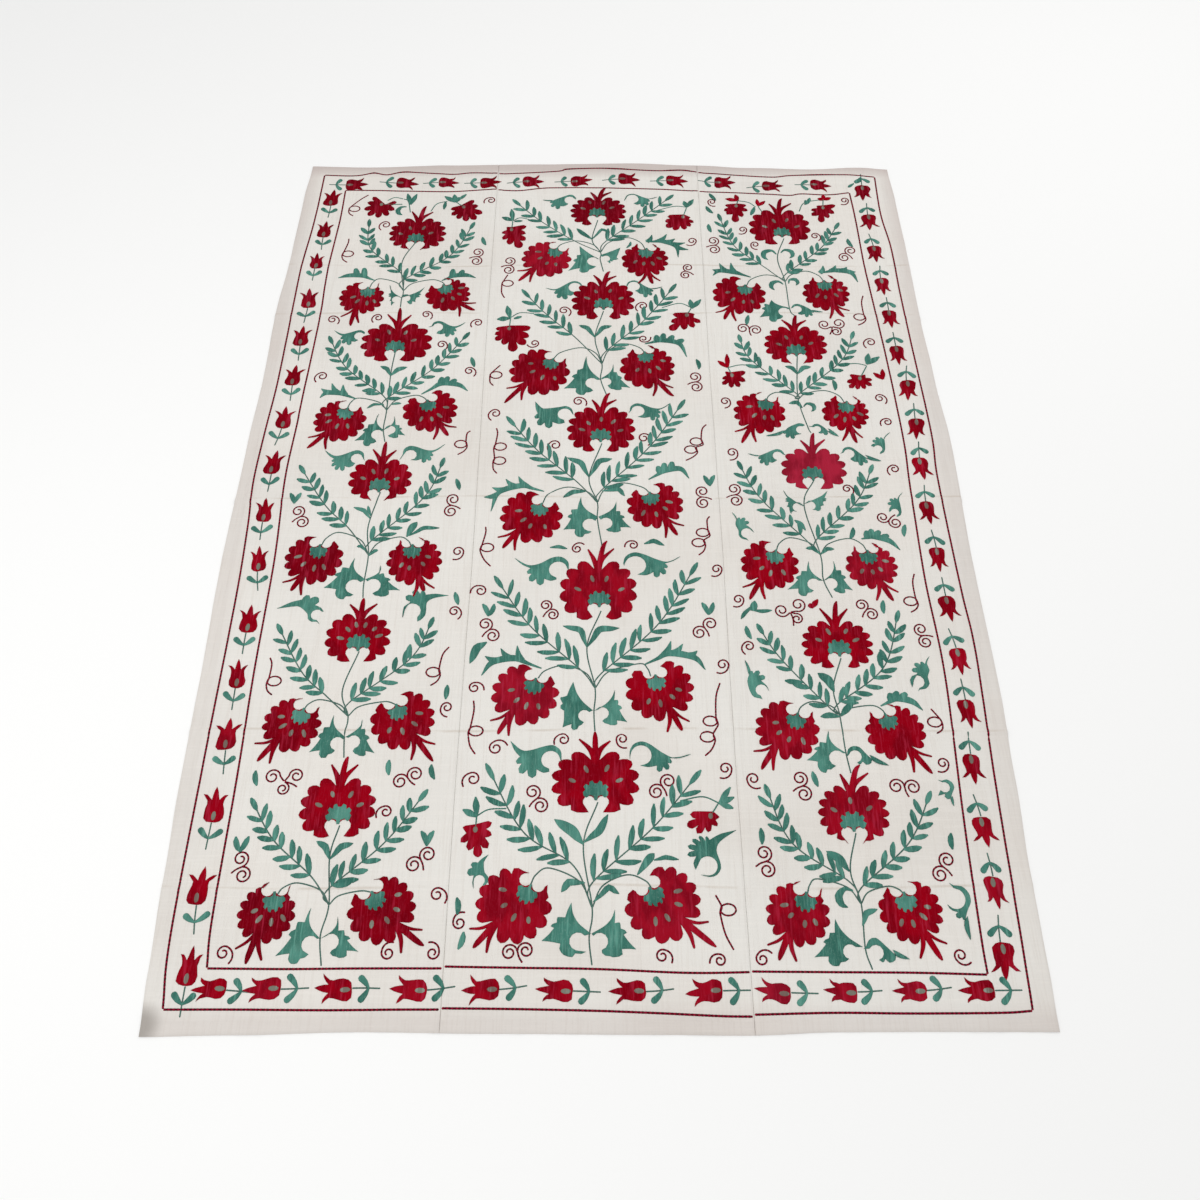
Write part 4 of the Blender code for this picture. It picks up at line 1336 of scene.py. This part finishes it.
def work_head(hoops, flower, up, wide, high, forms, turn, spikes):
    """A head with its crown. Forms are its two sides; a spike is its end, its bend and its two widths."""
    centre = Vector((flower.x, flower.y))
    across = Vector((up.y, -up.x))
    outward = 1.0 if up.x < 0.0 else -1.0
    to_calyx = Vector((flower.calyx_x, flower.calyx_y)) - centre
    calyx = (to_calyx.dot(across), to_calyx.dot(up))
    to_tip = Vector((flower.tip_x, flower.tip_y)) - centre
    tip = (to_tip.dot(across), to_tip.dot(up))
    outline = []
    for side, form in zip((1.0, -1.0), forms):
        half = head_side(form, wide, high, (side * calyx[0], calyx[1]), turn * outward * side)
        half.append((CROWN_NOTCH[0] * wide, CROWN_NOTCH[1] * high))
        half = [(side * u, v) for u, v in half]
        outline += half if side > 0.0 else half[::-1]
    work_solid(hoops, set_out(centre, up, outline), flower.tone, RED, GREAT_RISE)
    for number, (end, bend, root_width, end_width) in enumerate(spikes):
        root = (0.0, 0.52 * high)
        spike = [(*root, 1.1 * root_width), (*bend, root_width), (*end, end_width)]
        lift = GREAT_RISE + SPIKE_STEP * (number + 1)
        work_solid(hoops, stroke(*set_out(centre, up, spike)), flower.tone, RED, lift, rows=False)
    middle = (0.55 * tip[0], 0.35 * high + 0.65 * tip[1])
    spike = [(0.0, 0.45 * high, 0.0120), (0.0, 0.66 * high, 0.0115), (*middle, 0.0094), (*tip, 0.0026)]
    lift = GREAT_RISE + MIDDLE_STEP
    work_solid(hoops, stroke(*set_out(centre, up, spike)), flower.tone, RED, lift, rows=False)


def work_calyx(hoops, flower, up, edge, half_wide, half_high, turn, fan):
    """The teal calyx at the foot of a head, and grey oval hearts fanned out beyond it over a spread."""
    calyx = (flower.calyx_x, flower.calyx_y)
    cup = []
    for side in (1, -1):
        half = [(side * u * half_wide * chance.uniform(0.94, 1.06), v * half_high) for u, v in edge]
        cup += half if side > 0 else half[::-1]
    cup = [swung(point, turn) for point in cup]
    work_solid(hoops, set_out(calyx, up, cup), shade(flower.y), CALYX, CALYX_RISE)
    for heart in range(flower.hearts):
        share = (heart + 0.5) / flower.hearts - 0.5
        angle = math.radians(90.0 + fan * share + chance.uniform(-5.0, 5.0))
        ray = Vector((math.cos(angle), math.sin(angle)))
        middle = ray * HEARTS_OUT * (flower.width + flower.height) * 0.5 * chance.uniform(1.0, 1.12)
        middle += ray * HEARTS_CLEAR
        half_long = HEART_LENGTH * chance.uniform(0.85, 1.15)
        oval = []
        for u, v in petal_arc((0.0, 0.0), half_long, HEART_WIDTH, 0, 324, 9):
            spot = middle + ray * u + Vector((-ray.y, ray.x)) * v
            oval.append((spot.x, spot.y))
        tone = chance.uniform(-0.3, 0.2) - FAR_HEARTS_BROWNER * max(0.0, flower.y)
        work_solid(hoops, set_out(calyx, up, oval), tone, GREY, HEART_RISE, rows=False)


hoops = new_hoops()
# Half a great head's size beside its measured one, and its calyx, which is smaller at the far end
GREAT_SHARES = (0.51, 0.52)
GREAT_CALYX = (0.0222, 0.0188)
FAR_CALYX = 0.93
for flower in GREAT_FLOWERS:
    wide, high = GREAT_SHARES[0] * flower.width, GREAT_SHARES[1] * flower.height
    form = GREAT_SIDE._replace(scallops=chance.choice((6, 7)))
    lean = flower.tip_x - flower.x
    top = flower.tip_y - flower.y
    spikes = []
    for side in (-1, 1):
        reach = side * chance.uniform(0.024, 0.031)
        end = (0.45 * lean + reach, high + (top - high) * chance.uniform(0.44, 0.60))
        spikes.append((end, (0.30 * reach, 0.96 * high), 0.0098, 0.0030))
    work_head(hoops, flower, Vector((0.0, 1.0)), wide, high, (form, form), 0.0, spikes)
    cup_size = [half * (1.0 if flower.y < 0.6 else FAR_CALYX) for half in GREAT_CALYX]
    work_calyx(hoops, flower, Vector((0.0, 1.0)), CUP, *cup_size, 0.0, 172.0)

# A hanging head turns outward on its stalk. Its crown has a thin spike outward and a thicker one inward,
# each with its side, lean, length, and width at its bend and at its end.
HANGING_TURN = 20.0
HANGING_CALYX = (0.0190, 0.0180)
HANGING_SPIKES = ((1.0, 42.0, 0.036, 0.0055, 0.0034), (-1.0, 40.0, 0.040, 0.0080, 0.0042))
for flower in HANGING_FLOWERS:
    up = Vector((flower.tip_x - flower.calyx_x, flower.tip_y - flower.calyx_y)).normalized()
    outward = 1.0 if up.x < 0.0 else -1.0
    size = 0.25 * (flower.width + flower.height)
    fork = 0.80 * size
    spikes = []
    for side, lean, length, bend_width, end_width in HANGING_SPIKES:
        angle = math.radians(90.0 - side * outward * lean * chance.uniform(0.8, 1.2))
        end = (length * math.cos(angle), fork + length * math.sin(angle))
        bend = (0.42 * end[0], fork + 0.38 * (end[1] - fork))
        spikes.append((end, bend, bend_width, end_width))
    forms = (OUTER_SIDE, INNER_SIDE) if outward > 0.0 else (INNER_SIDE, OUTER_SIDE)
    work_head(hoops, flower, up, size, size, forms, HANGING_TURN, spikes)
    work_calyx(hoops, flower, up, HANGING_CUP, *HANGING_CALYX, HANGING_TURN * outward, 136.0)

# Small half flowers on the stalks and at the top: a fan of fingers about a grey heart where the stalk ends.
SIDE_FLOWERS = laid_out("heart foot tone fingers", (
    ((-218, 814), (-216, 846), -0.4, ((-231, 824), (-242, 802), (-238, 779), (-221, 762), (-194, 750),
     (-183, 776), (-182, 800), (-181, 827))),
    ((213, 860), (224, 896), -0.4, ((174, 862), (168, 843), (170, 823), (189, 813), (215, 815),
     (230, 825), (239, 840), (232, 858))),
    ((-210, 483), (-208, 521), -0.3, ((-242, 483), (-243, 464), (-240, 446), (-221, 433), (-197, 412),
     (-171, 433), (-163, 457), (-160, 485))),
    ((209, 525), (222, 551), -0.3, ((176, 527), (172, 503), (168, 478), (200, 480), (224, 486),
     (241, 503), (228, 527))),
    ((-220, -717), (-219, -691), 0.1, ((-243, -713), (-245, -740), (-230, -755), (-212, -767),
     (-196, -751), (-190, -727), (-191, -704))),
    ((203, -692), (220, -666), 0.1, ((166, -689), (160, -711), (177, -724), (197, -722), (214, -711),
     (219, -694))),
    ((-553, 906), (-499, 907), -0.6, ((-578, 934), (-590, 913), (-595, 887), (-583, 865), (-558, 857),
     (-534, 864), (-518, 885), (-515, 915))),
    ((-343, 896), (-365, 916), -0.6, ((-318, 922), (-306, 901), (-295, 873), (-310, 851), (-333, 845),
     (-355, 853), (-372, 866), (-376, 888))),
    ((350, 900), (356, 922), -0.5, ((322, 903), (318, 882), (324, 869), (344, 841), (363, 860),
     (378, 882), (376, 903))),
    ((570, 893), (574, 927), -0.5, ((554, 900), (539, 884), (539, 865), (560, 841), (580, 856),
     (597, 873), (603, 903))),
    ((305, 340), (297, 366), -0.2, ((290, 351), (282, 330), (282, 313), (301, 304), (320, 306),
     (335, 323), (337, 351))),
    ((596, 331), (617, 370), -0.2, ((574, 342), (565, 320), (569, 303), (586, 299), (604, 300),
     (621, 310), (624, 327), (610, 342))),
), "tone")
# The heart's two half sizes, the foot's distance from its middle, and shares of a finger: how far out the
# notch beside it is, and how far out its widest place is and how wide
SIDE_HEART = (0.0048, 0.0062)
FOOT_REACH = 0.010
NOTCH_REACH = 0.66
FINGER_SHOULDER = 0.86
FINGER_BREADTH = 0.16
for flower in SIDE_FLOWERS:
    heart = Vector(flower.heart)
    foot = Vector(flower.foot)
    fingers = [Vector(finger) for finger in flower.fingers]
    back = heart + (foot - heart).normalized() * FOOT_REACH
    notches = [back]
    for finger, following in zip(fingers, fingers[1:]):
        notches.append(heart + NOTCH_REACH * (0.5 * (finger + following) - heart))
    notches.append(back)
    runs = []
    for before, finger, after in zip(notches, fingers, notches[1:]):
        way = finger - heart
        breadth = FINGER_BREADTH * Vector((-way.y, way.x))
        if (before - after).dot(breadth) < 0.0:
            breadth = -breadth
        shoulder = heart + FINGER_SHOULDER * way
        runs.append((before, shoulder + breadth, finger, shoulder - breadth, after))
    work_solid(hoops, joined_runs(*runs), flower.tone, RED)
    core = petal_arc(heart, *SIDE_HEART, 0, 320, 8)
    work_solid(hoops, core, 0.0, GREY, HEART_RISE, rows=False)
    lay_thread(hoops, [heart, heart.lerp(foot, 0.5), foot], STEM_WIDTH, HEART_RISE, thread=CALYX)

# The stalks that carry the side flowers: from a spray over a peak to the flower's foot.
STALKS = laid_out("start peak foot", (
    ((-160, 845), (-196, 857), (-216, 846)), ((145, 883), (192, 899), (224, 896)),
    ((-152, 530), (-185, 533), (-208, 518)), ((150, 550), (193, 564), (222, 550)),
    ((-165, -678), (-198, -680), (-219, -692)), ((148, -664), (190, -656), (220, -668)),
    ((-477, 876), (-486, 918), (-499, 927)), ((-499, 927), (-522, 932), (-540, 920)),
    ((-426, 880), (-412, 908), (-385, 918)), ((416, 875), (408, 893), (406, 903)),
    ((400, 896), (383, 913), (356, 920)), ((508, 880), (525, 912), (574, 925)),
    ((359, 368), (327, 372), (297, 364)), ((545, 370), (590, 376), (617, 370)),
))
for stalk in STALKS:
    lay_thread(hoops, stalk, STEM_WIDTH, STEM_RISE, thread=CALYX)

# Buds beyond the side flowers, green or red, of two or three plump strokes from one foot, and the small
# leaves and red hearts that stand by them.
BUDS = laid_out("foot tips width thread", (
    ((-216, 847), ((-244, 859), (-221, 889)), 13.5, CALYX), ((-212, 844), ((-192, 846),), 8, CALYX),
    ((224, 896), ((217, 918), (242, 924)), 13, CALYX), ((-209, 516), ((-240, 513), (-218, 556)), 15, CALYX),
    ((-200, 515), ((-182, 521),), 8, CALYX), ((222, 548), ((219, 576), (245, 576)), 13, CALYX),
    ((-219, -693), ((-245, -680), (-223, -656)), 12.5, CALYX),
    ((220, -668), ((242, -638), (248, -657), (245, -678)), 11, CALYX),
    ((-479, 906), ((-490, 946), (-466, 944)), 12.5, CALYX),
    ((-365, 914), ((-394, 936), (-370, 943), (-356, 933)), 14, CALYX),
    ((-358, 923), ((-339, 944),), 9.5, CALYX), ((-390, 916), ((-393, 888),), 9.5, CALYX),
    ((356, 920), ((324, 927), (350, 942)), 13, RED), ((406, 901), ((404, 925), (425, 918)), 11, RED),
    ((396, 896), ((393, 884),), 8, CALYX), ((576, 923), ((575, 942), (594, 931), (560, 928)), 12, RED),
    ((528, 906), ((528, 922),), 8, CALYX), ((297, 364), ((275, 384), (297, 405)), 12, RED),
    ((617, 374), ((625, 406), (649, 396)), 14, CALYX), ((649, 329), ((629, 348), (651, 359)), 12, RED),
    ((427, -265), ((425, -254), (442, -245)), 12, RED),
), "thread")
for bud in BUDS:
    foot = Vector(bud.foot)
    thread_tone = shade(foot.y) if bud.thread == CALYX else 0.0
    for tip in bud.tips:
        tip = Vector(tip)
        lobe = [(*foot, 0.0040), (*foot.lerp(tip, 0.55), bud.width), (*tip, 0.0024)]
        work_solid(hoops, stroke(*lobe), thread_tone, bud.thread, 1.1 * FILL_RISE, rows=False)
finish_group("flowers", hoops, [crimson, teal, heart_grey])

# ---------------------------------------------------------------- The scrolls
# Curls and looped lines of the same two-ply thread as the rules fill the ground between the plants. A curl
# runs in from its tail, which points at the angle given, and turns one way or the other.
SCROLL_WIDTH = 0.0035
SCROLL_RISE = 0.0009
# A curl's turns, the steps it is drawn in, and how much it has shrunk at its heart
SCROLL_TURNS = 1.55
SCROLL_STEPS = 22
CURL_SHRINK = 0.76
SCROLLS = laid_out("x y size tail turn", (
    (-238, -225, 14, 200, -1), (-238, -439, 13, 340, 1), (-191, -562, 15, 10, 1), (-230, -622, 15, 225, -1),
    (-65, -545, 13, 215, -1), (45, -544, 13, 300, -1), (242, -390, 14, 230, 1), (235, -602, 14, 235, 1),
    (-238, -880, 13, 60, 1), (109, -935, 13, 320, 1), (206, -942, 12, 200, -1), (-95, 142, 15, 250, -1),
    (100, 162, 15, 290, 1), (-44, -125, 12, 30, 1), (72, -116, 12, 200, -1), (242, -174, 13, 230, 1),
    (-82, 541, 14, 300, 1), (105, 556, 14, 240, -1), (-149, 438, 12, 190, 1), (105, 452, 12, 20, -1),
    (-45, 265, 14, 320, 1), (-230, 230, 14, 250, -1), (232, 775, 13, 220, 1), (-635, -930, 14, 300, 1),
    (-384, -684, 13, 220, -1), (-280, -832, 14, 310, 1), (-280, -930, 13, 120, -1), (-356, -930, 13, 60, 1),
    (-288, -272, 13, 290, 1), (-288, -480, 13, 280, -1), (-290, -132, 14, 240, 1), (-629, 512, 13, 310, 1),
    (-522, 518, 12, 240, -1), (-408, 528, 12, 300, 1), (-285, 502, 13, 230, -1), (-365, 434, 13, 280, 1),
    (-631, 338, 14, 240, -1), (-296, 354, 13, 300, 1), (-535, 832, 14, 245, -1), (-275, 921, 13, 215, -1),
    (278, -940, 13, 25, 1), (614, -934, 13, 330, -1), (282, -245, 13, 230, 1), (296, -350, 13, 250, -1),
    (638, -592, 13, 230, 1), (285, -622, 14, 310, -1), (292, 122, 14, 250, 1), (640, 78, 13, 240, -1),
    (532, 26, 12, 290, 1), (634, 441, 14, 240, -1), (634, 274, 13, 300, 1), (642, 206, 12, 220, -1),
    (285, 265, 13, 260, 1), (289, 916, 12, 300, -1), (361, 815, 12, 230, 1), (388, 762, 12, 290, -1),
    (628, 921, 12, 230, 1), (540, 792, 12, 290, 1),
), "tail turn")
SCROLL_PAIRS = laid_out("x y next_x next_y turn", (
    (-225, -300, -208, -328, 1), (-104, -260, -92, -278, 1), (225, -298, 198, -322, -1),
    (130, -625, 105, -648, -1), (-119, -648, -105, -672, 1), (-149, -929, -124, -926, 1),
    (222, 20, 222, -12, -1), (220, 338, 222, 305, 1), (218, 680, 212, 660, -1), (-218, 708, -220, 672, 1),
    (-632, -769, -624, -799, 1), (-299, -760, -328, -782, -1), (-365, -628, -335, -612, 1),
    (-634, -32, -622, -60, 1), (-308, 0, -312, -34, -1), (-298, 735, -300, 705, 1),
    (371, -622, 376, -650, 1), (542, -636, 580, -638, 1), (294, -759, 298, -790, 1),
    (618, -770, 600, -799, -1), (529, -259, 545, -278, 1), (639, -314, 644, -339, -1),
    (290, 25, 292, -5, 1), (600, -48, 622, -60, -1), (340, 484, 369, 479, 1), (285, 780, 286, 740, 1),
    (622, 740, 605, 718, -1),
), "turn")
PAIR_SIZE = 0.0128
WIDEST_PAIR = 0.0150
SCROLL_TRIPLES = laid_out("joint tail curls sizes turns", (
    ((384, -274), (388, -306), ((367, -270), (401, -257), (396, -289)), (13, 13.7, 10.6), (-1, 1, -1)),
    ((-576, -627), (-550, -638), ((-599, -618), (-577, -641), (-555, -616)), (12.8, 10.6, 12), (1, -1, -1)),
    ((550, 490), (542, 464), ((532, 497), (566, 500), (558, 474)), (12.8, 13.7, 11.6), (-1, 1, -1)),
), "turns")
LOOPED_LINES = laid_out("start loops end turn", (
    ((-238, -465), ((-230, -528),), (-228, -575), 1),
    ((235, -428), ((212, -508), (205, -540)), (198, -578), -1),
    ((204, -832), ((225, -858),), (231, -926), 1), ((-226, 190), ((-215, 138), (-215, 100)), (-218, 65), 1),
    ((240, 200), ((215, 152), (202, 130)), (189, 100), -1),
    ((235, -44), ((218, -85), (208, -110)), (206, -141), -1),
    ((-236, -70), ((-230, -122),), (-220, -168), 1), ((-225, 372), ((-234, 342),), (-238, 310), 1),
    ((-220, 660), ((-220, 630),), (-225, 581), 1), ((-641, -374), ((-625, -425),), (-624, -455), 1),
    ((-292, -351), ((-320, -406),), (-324, -435), -1), ((-282, 182), ((-302, 145),), (-308, 116), -1),
    ((-589, 942), ((-620, 890),), (-620, 864), 1), ((-622, 784), ((-618, 730),), (-616, 700), 1),
    ((645, -184), ((628, -249),), (624, -275), -1), ((632, -482), ((636, -510),), (635, -534), -1),
    ((635, 590), ((618, 520),), (611, 494), -1),
), "turn")
LOOP_SIZE = 0.0135
LOOP_STATIONS = (35.0, -20.0, -70.0, -120.0, -170.0, -220.0, -270.0, -320.0, -365.0)


def curl(x, y, size, tail, turn, flare=0.55):
    """Points of one curl, from its flared tail to its heart. Turn is 1 anticlockwise or -1 clockwise."""
    points = []
    for step in range(SCROLL_STEPS + 1):
        share = step / SCROLL_STEPS
        angle = math.radians(tail) + turn * 2.0 * math.pi * SCROLL_TURNS * share
        reach = size * (1.0 - CURL_SHRINK * share + flare * max(0.0, 1.0 - 6.0 * share))
        points.append((x + reach * math.cos(angle), y + reach * math.sin(angle)))
    return points


hoops = new_hoops()
for scroll in SCROLLS:
    lay_thread(hoops, curl(*scroll), SCROLL_WIDTH, SCROLL_RISE)
for pair in SCROLL_PAIRS:
    first = Vector((pair.x, pair.y))
    second = Vector((pair.next_x, pair.next_y))
    joint = first.lerp(second, 0.5)
    size = min(WIDEST_PAIR, max(PAIR_SIZE, 0.56 * (second - first).length))
    way = (second - first).normalized()
    heading = math.degrees(math.atan2(way.y, way.x))
    back = Vector((way.y, -way.x)) * pair.turn
    tail = [tuple(joint + back * 0.020 + way * 0.007), tuple(joint + back * 0.010 + way * 0.002)]
    whorl = curl(*(joint - way * size), size, heading, pair.turn, 0.0)
    lay_thread(hoops, tail + whorl, SCROLL_WIDTH, SCROLL_RISE)
    whorl = curl(*(joint + way * size), size, heading + 180.0, -pair.turn, 0.0)
    lay_thread(hoops, whorl, SCROLL_WIDTH, 1.04 * SCROLL_RISE)
for group in SCROLL_TRIPLES:
    joint = Vector(group.joint)
    for (x, y), size, turn in zip(group.curls, group.sizes, group.turns):
        toward = joint - Vector((x, y))
        heading = math.degrees(math.atan2(toward.y, toward.x))
        whorl = curl(x, y, 1.20 * size, heading, turn, 0.0)
        lay_thread(hoops, [group.joint] + whorl[1:], SCROLL_WIDTH, SCROLL_RISE)
    middle = joint.lerp(Vector(group.tail), 0.5) + Vector((0.002, 0.001))
    lay_thread(hoops, [group.joint, tuple(middle), group.tail], SCROLL_WIDTH, 1.04 * SCROLL_RISE)
for line in LOOPED_LINES:
    knots = [line.start]
    before = Vector(line.start)
    for x, y in line.loops:
        enter = Vector((x - line.turn * 0.9 * LOOP_SIZE, y + 1.5 * LOOP_SIZE))
        if before.y - y > 2.4 * LOOP_SIZE:
            knots.append(tuple(before.lerp(enter, 0.5) + Vector((line.turn * 0.004, 0.0))))
        for degrees in LOOP_STATIONS:
            angle = math.radians(degrees)
            across = line.turn * LOOP_SIZE * math.cos(angle)
            knots.append((x - across, y + 0.74 * LOOP_SIZE * math.sin(angle)))
        before = Vector((x - line.turn * 1.02 * LOOP_SIZE, y - 0.70 * LOOP_SIZE))
        knots.append(tuple(before))
    knots += [tuple(before.lerp(Vector(line.end), 0.55) - Vector((line.turn * 0.004, 0.0))), line.end]
    lay_thread(hoops, knots, SCROLL_WIDTH, SCROLL_RISE)
finish_group("scrolls", hoops, [maroon_ply])

floor_mesh = bpy.data.meshes.new("floor")
slab = bmesh.new()
bmesh.ops.create_grid(slab, x_segments=1, y_segments=1, size=8.0)
slab.to_mesh(floor_mesh)
slab.free()
# Matt white paint, so that the floor reads as an even ground
floor_mesh.materials.append(
    new_finish("matt_white_floor_paint", {"Base Color": linear("#fbfbfa"), "Roughness": 0.9})[0]
)
floor = put_in_scene("floor", floor_mesh)

world = bpy.data.worlds.new("soft_studio")
world.use_nodes = True
sky = world.node_tree.nodes["Background"]
sky.inputs["Color"].default_value = linear("#ffffff")
sky.inputs["Strength"].default_value = 0.78
bpy.context.scene.world = world


def hang_lamp(name, place, target, size, power):
    """A large square soft light, turned to a point on the cloth."""
    lamp = bpy.data.lights.new(name, "AREA")
    lamp.size = size
    lamp.energy = power
    holder = put_in_scene(name, lamp)
    holder.location = place
    holder.rotation_euler = (Vector(target) - Vector(place)).to_track_quat("-Z", "Y").to_euler()


hang_lamp("near_softbox", (-1.4, -0.9, 2.7), (0.0, 0.1, 0.0), 1.8, 20.0)
hang_lamp("side_softbox", (1.9, 1.7, 2.4), (0.0, 0.3, 0.0), 1.6, 13.0)

bpy.context.scene.view_settings.view_transform = "Standard"
eye = bpy.data.cameras.new("standing_camera")
eye.lens = 31.263
eye.sensor_width = 36.0
camera = put_in_scene("standing_camera", eye)
camera.location = (0.0035, -1.2628, 1.8355)
camera.rotation_euler = (math.radians(29.0), 0.0, 0.0)
bpy.context.scene.camera = camera
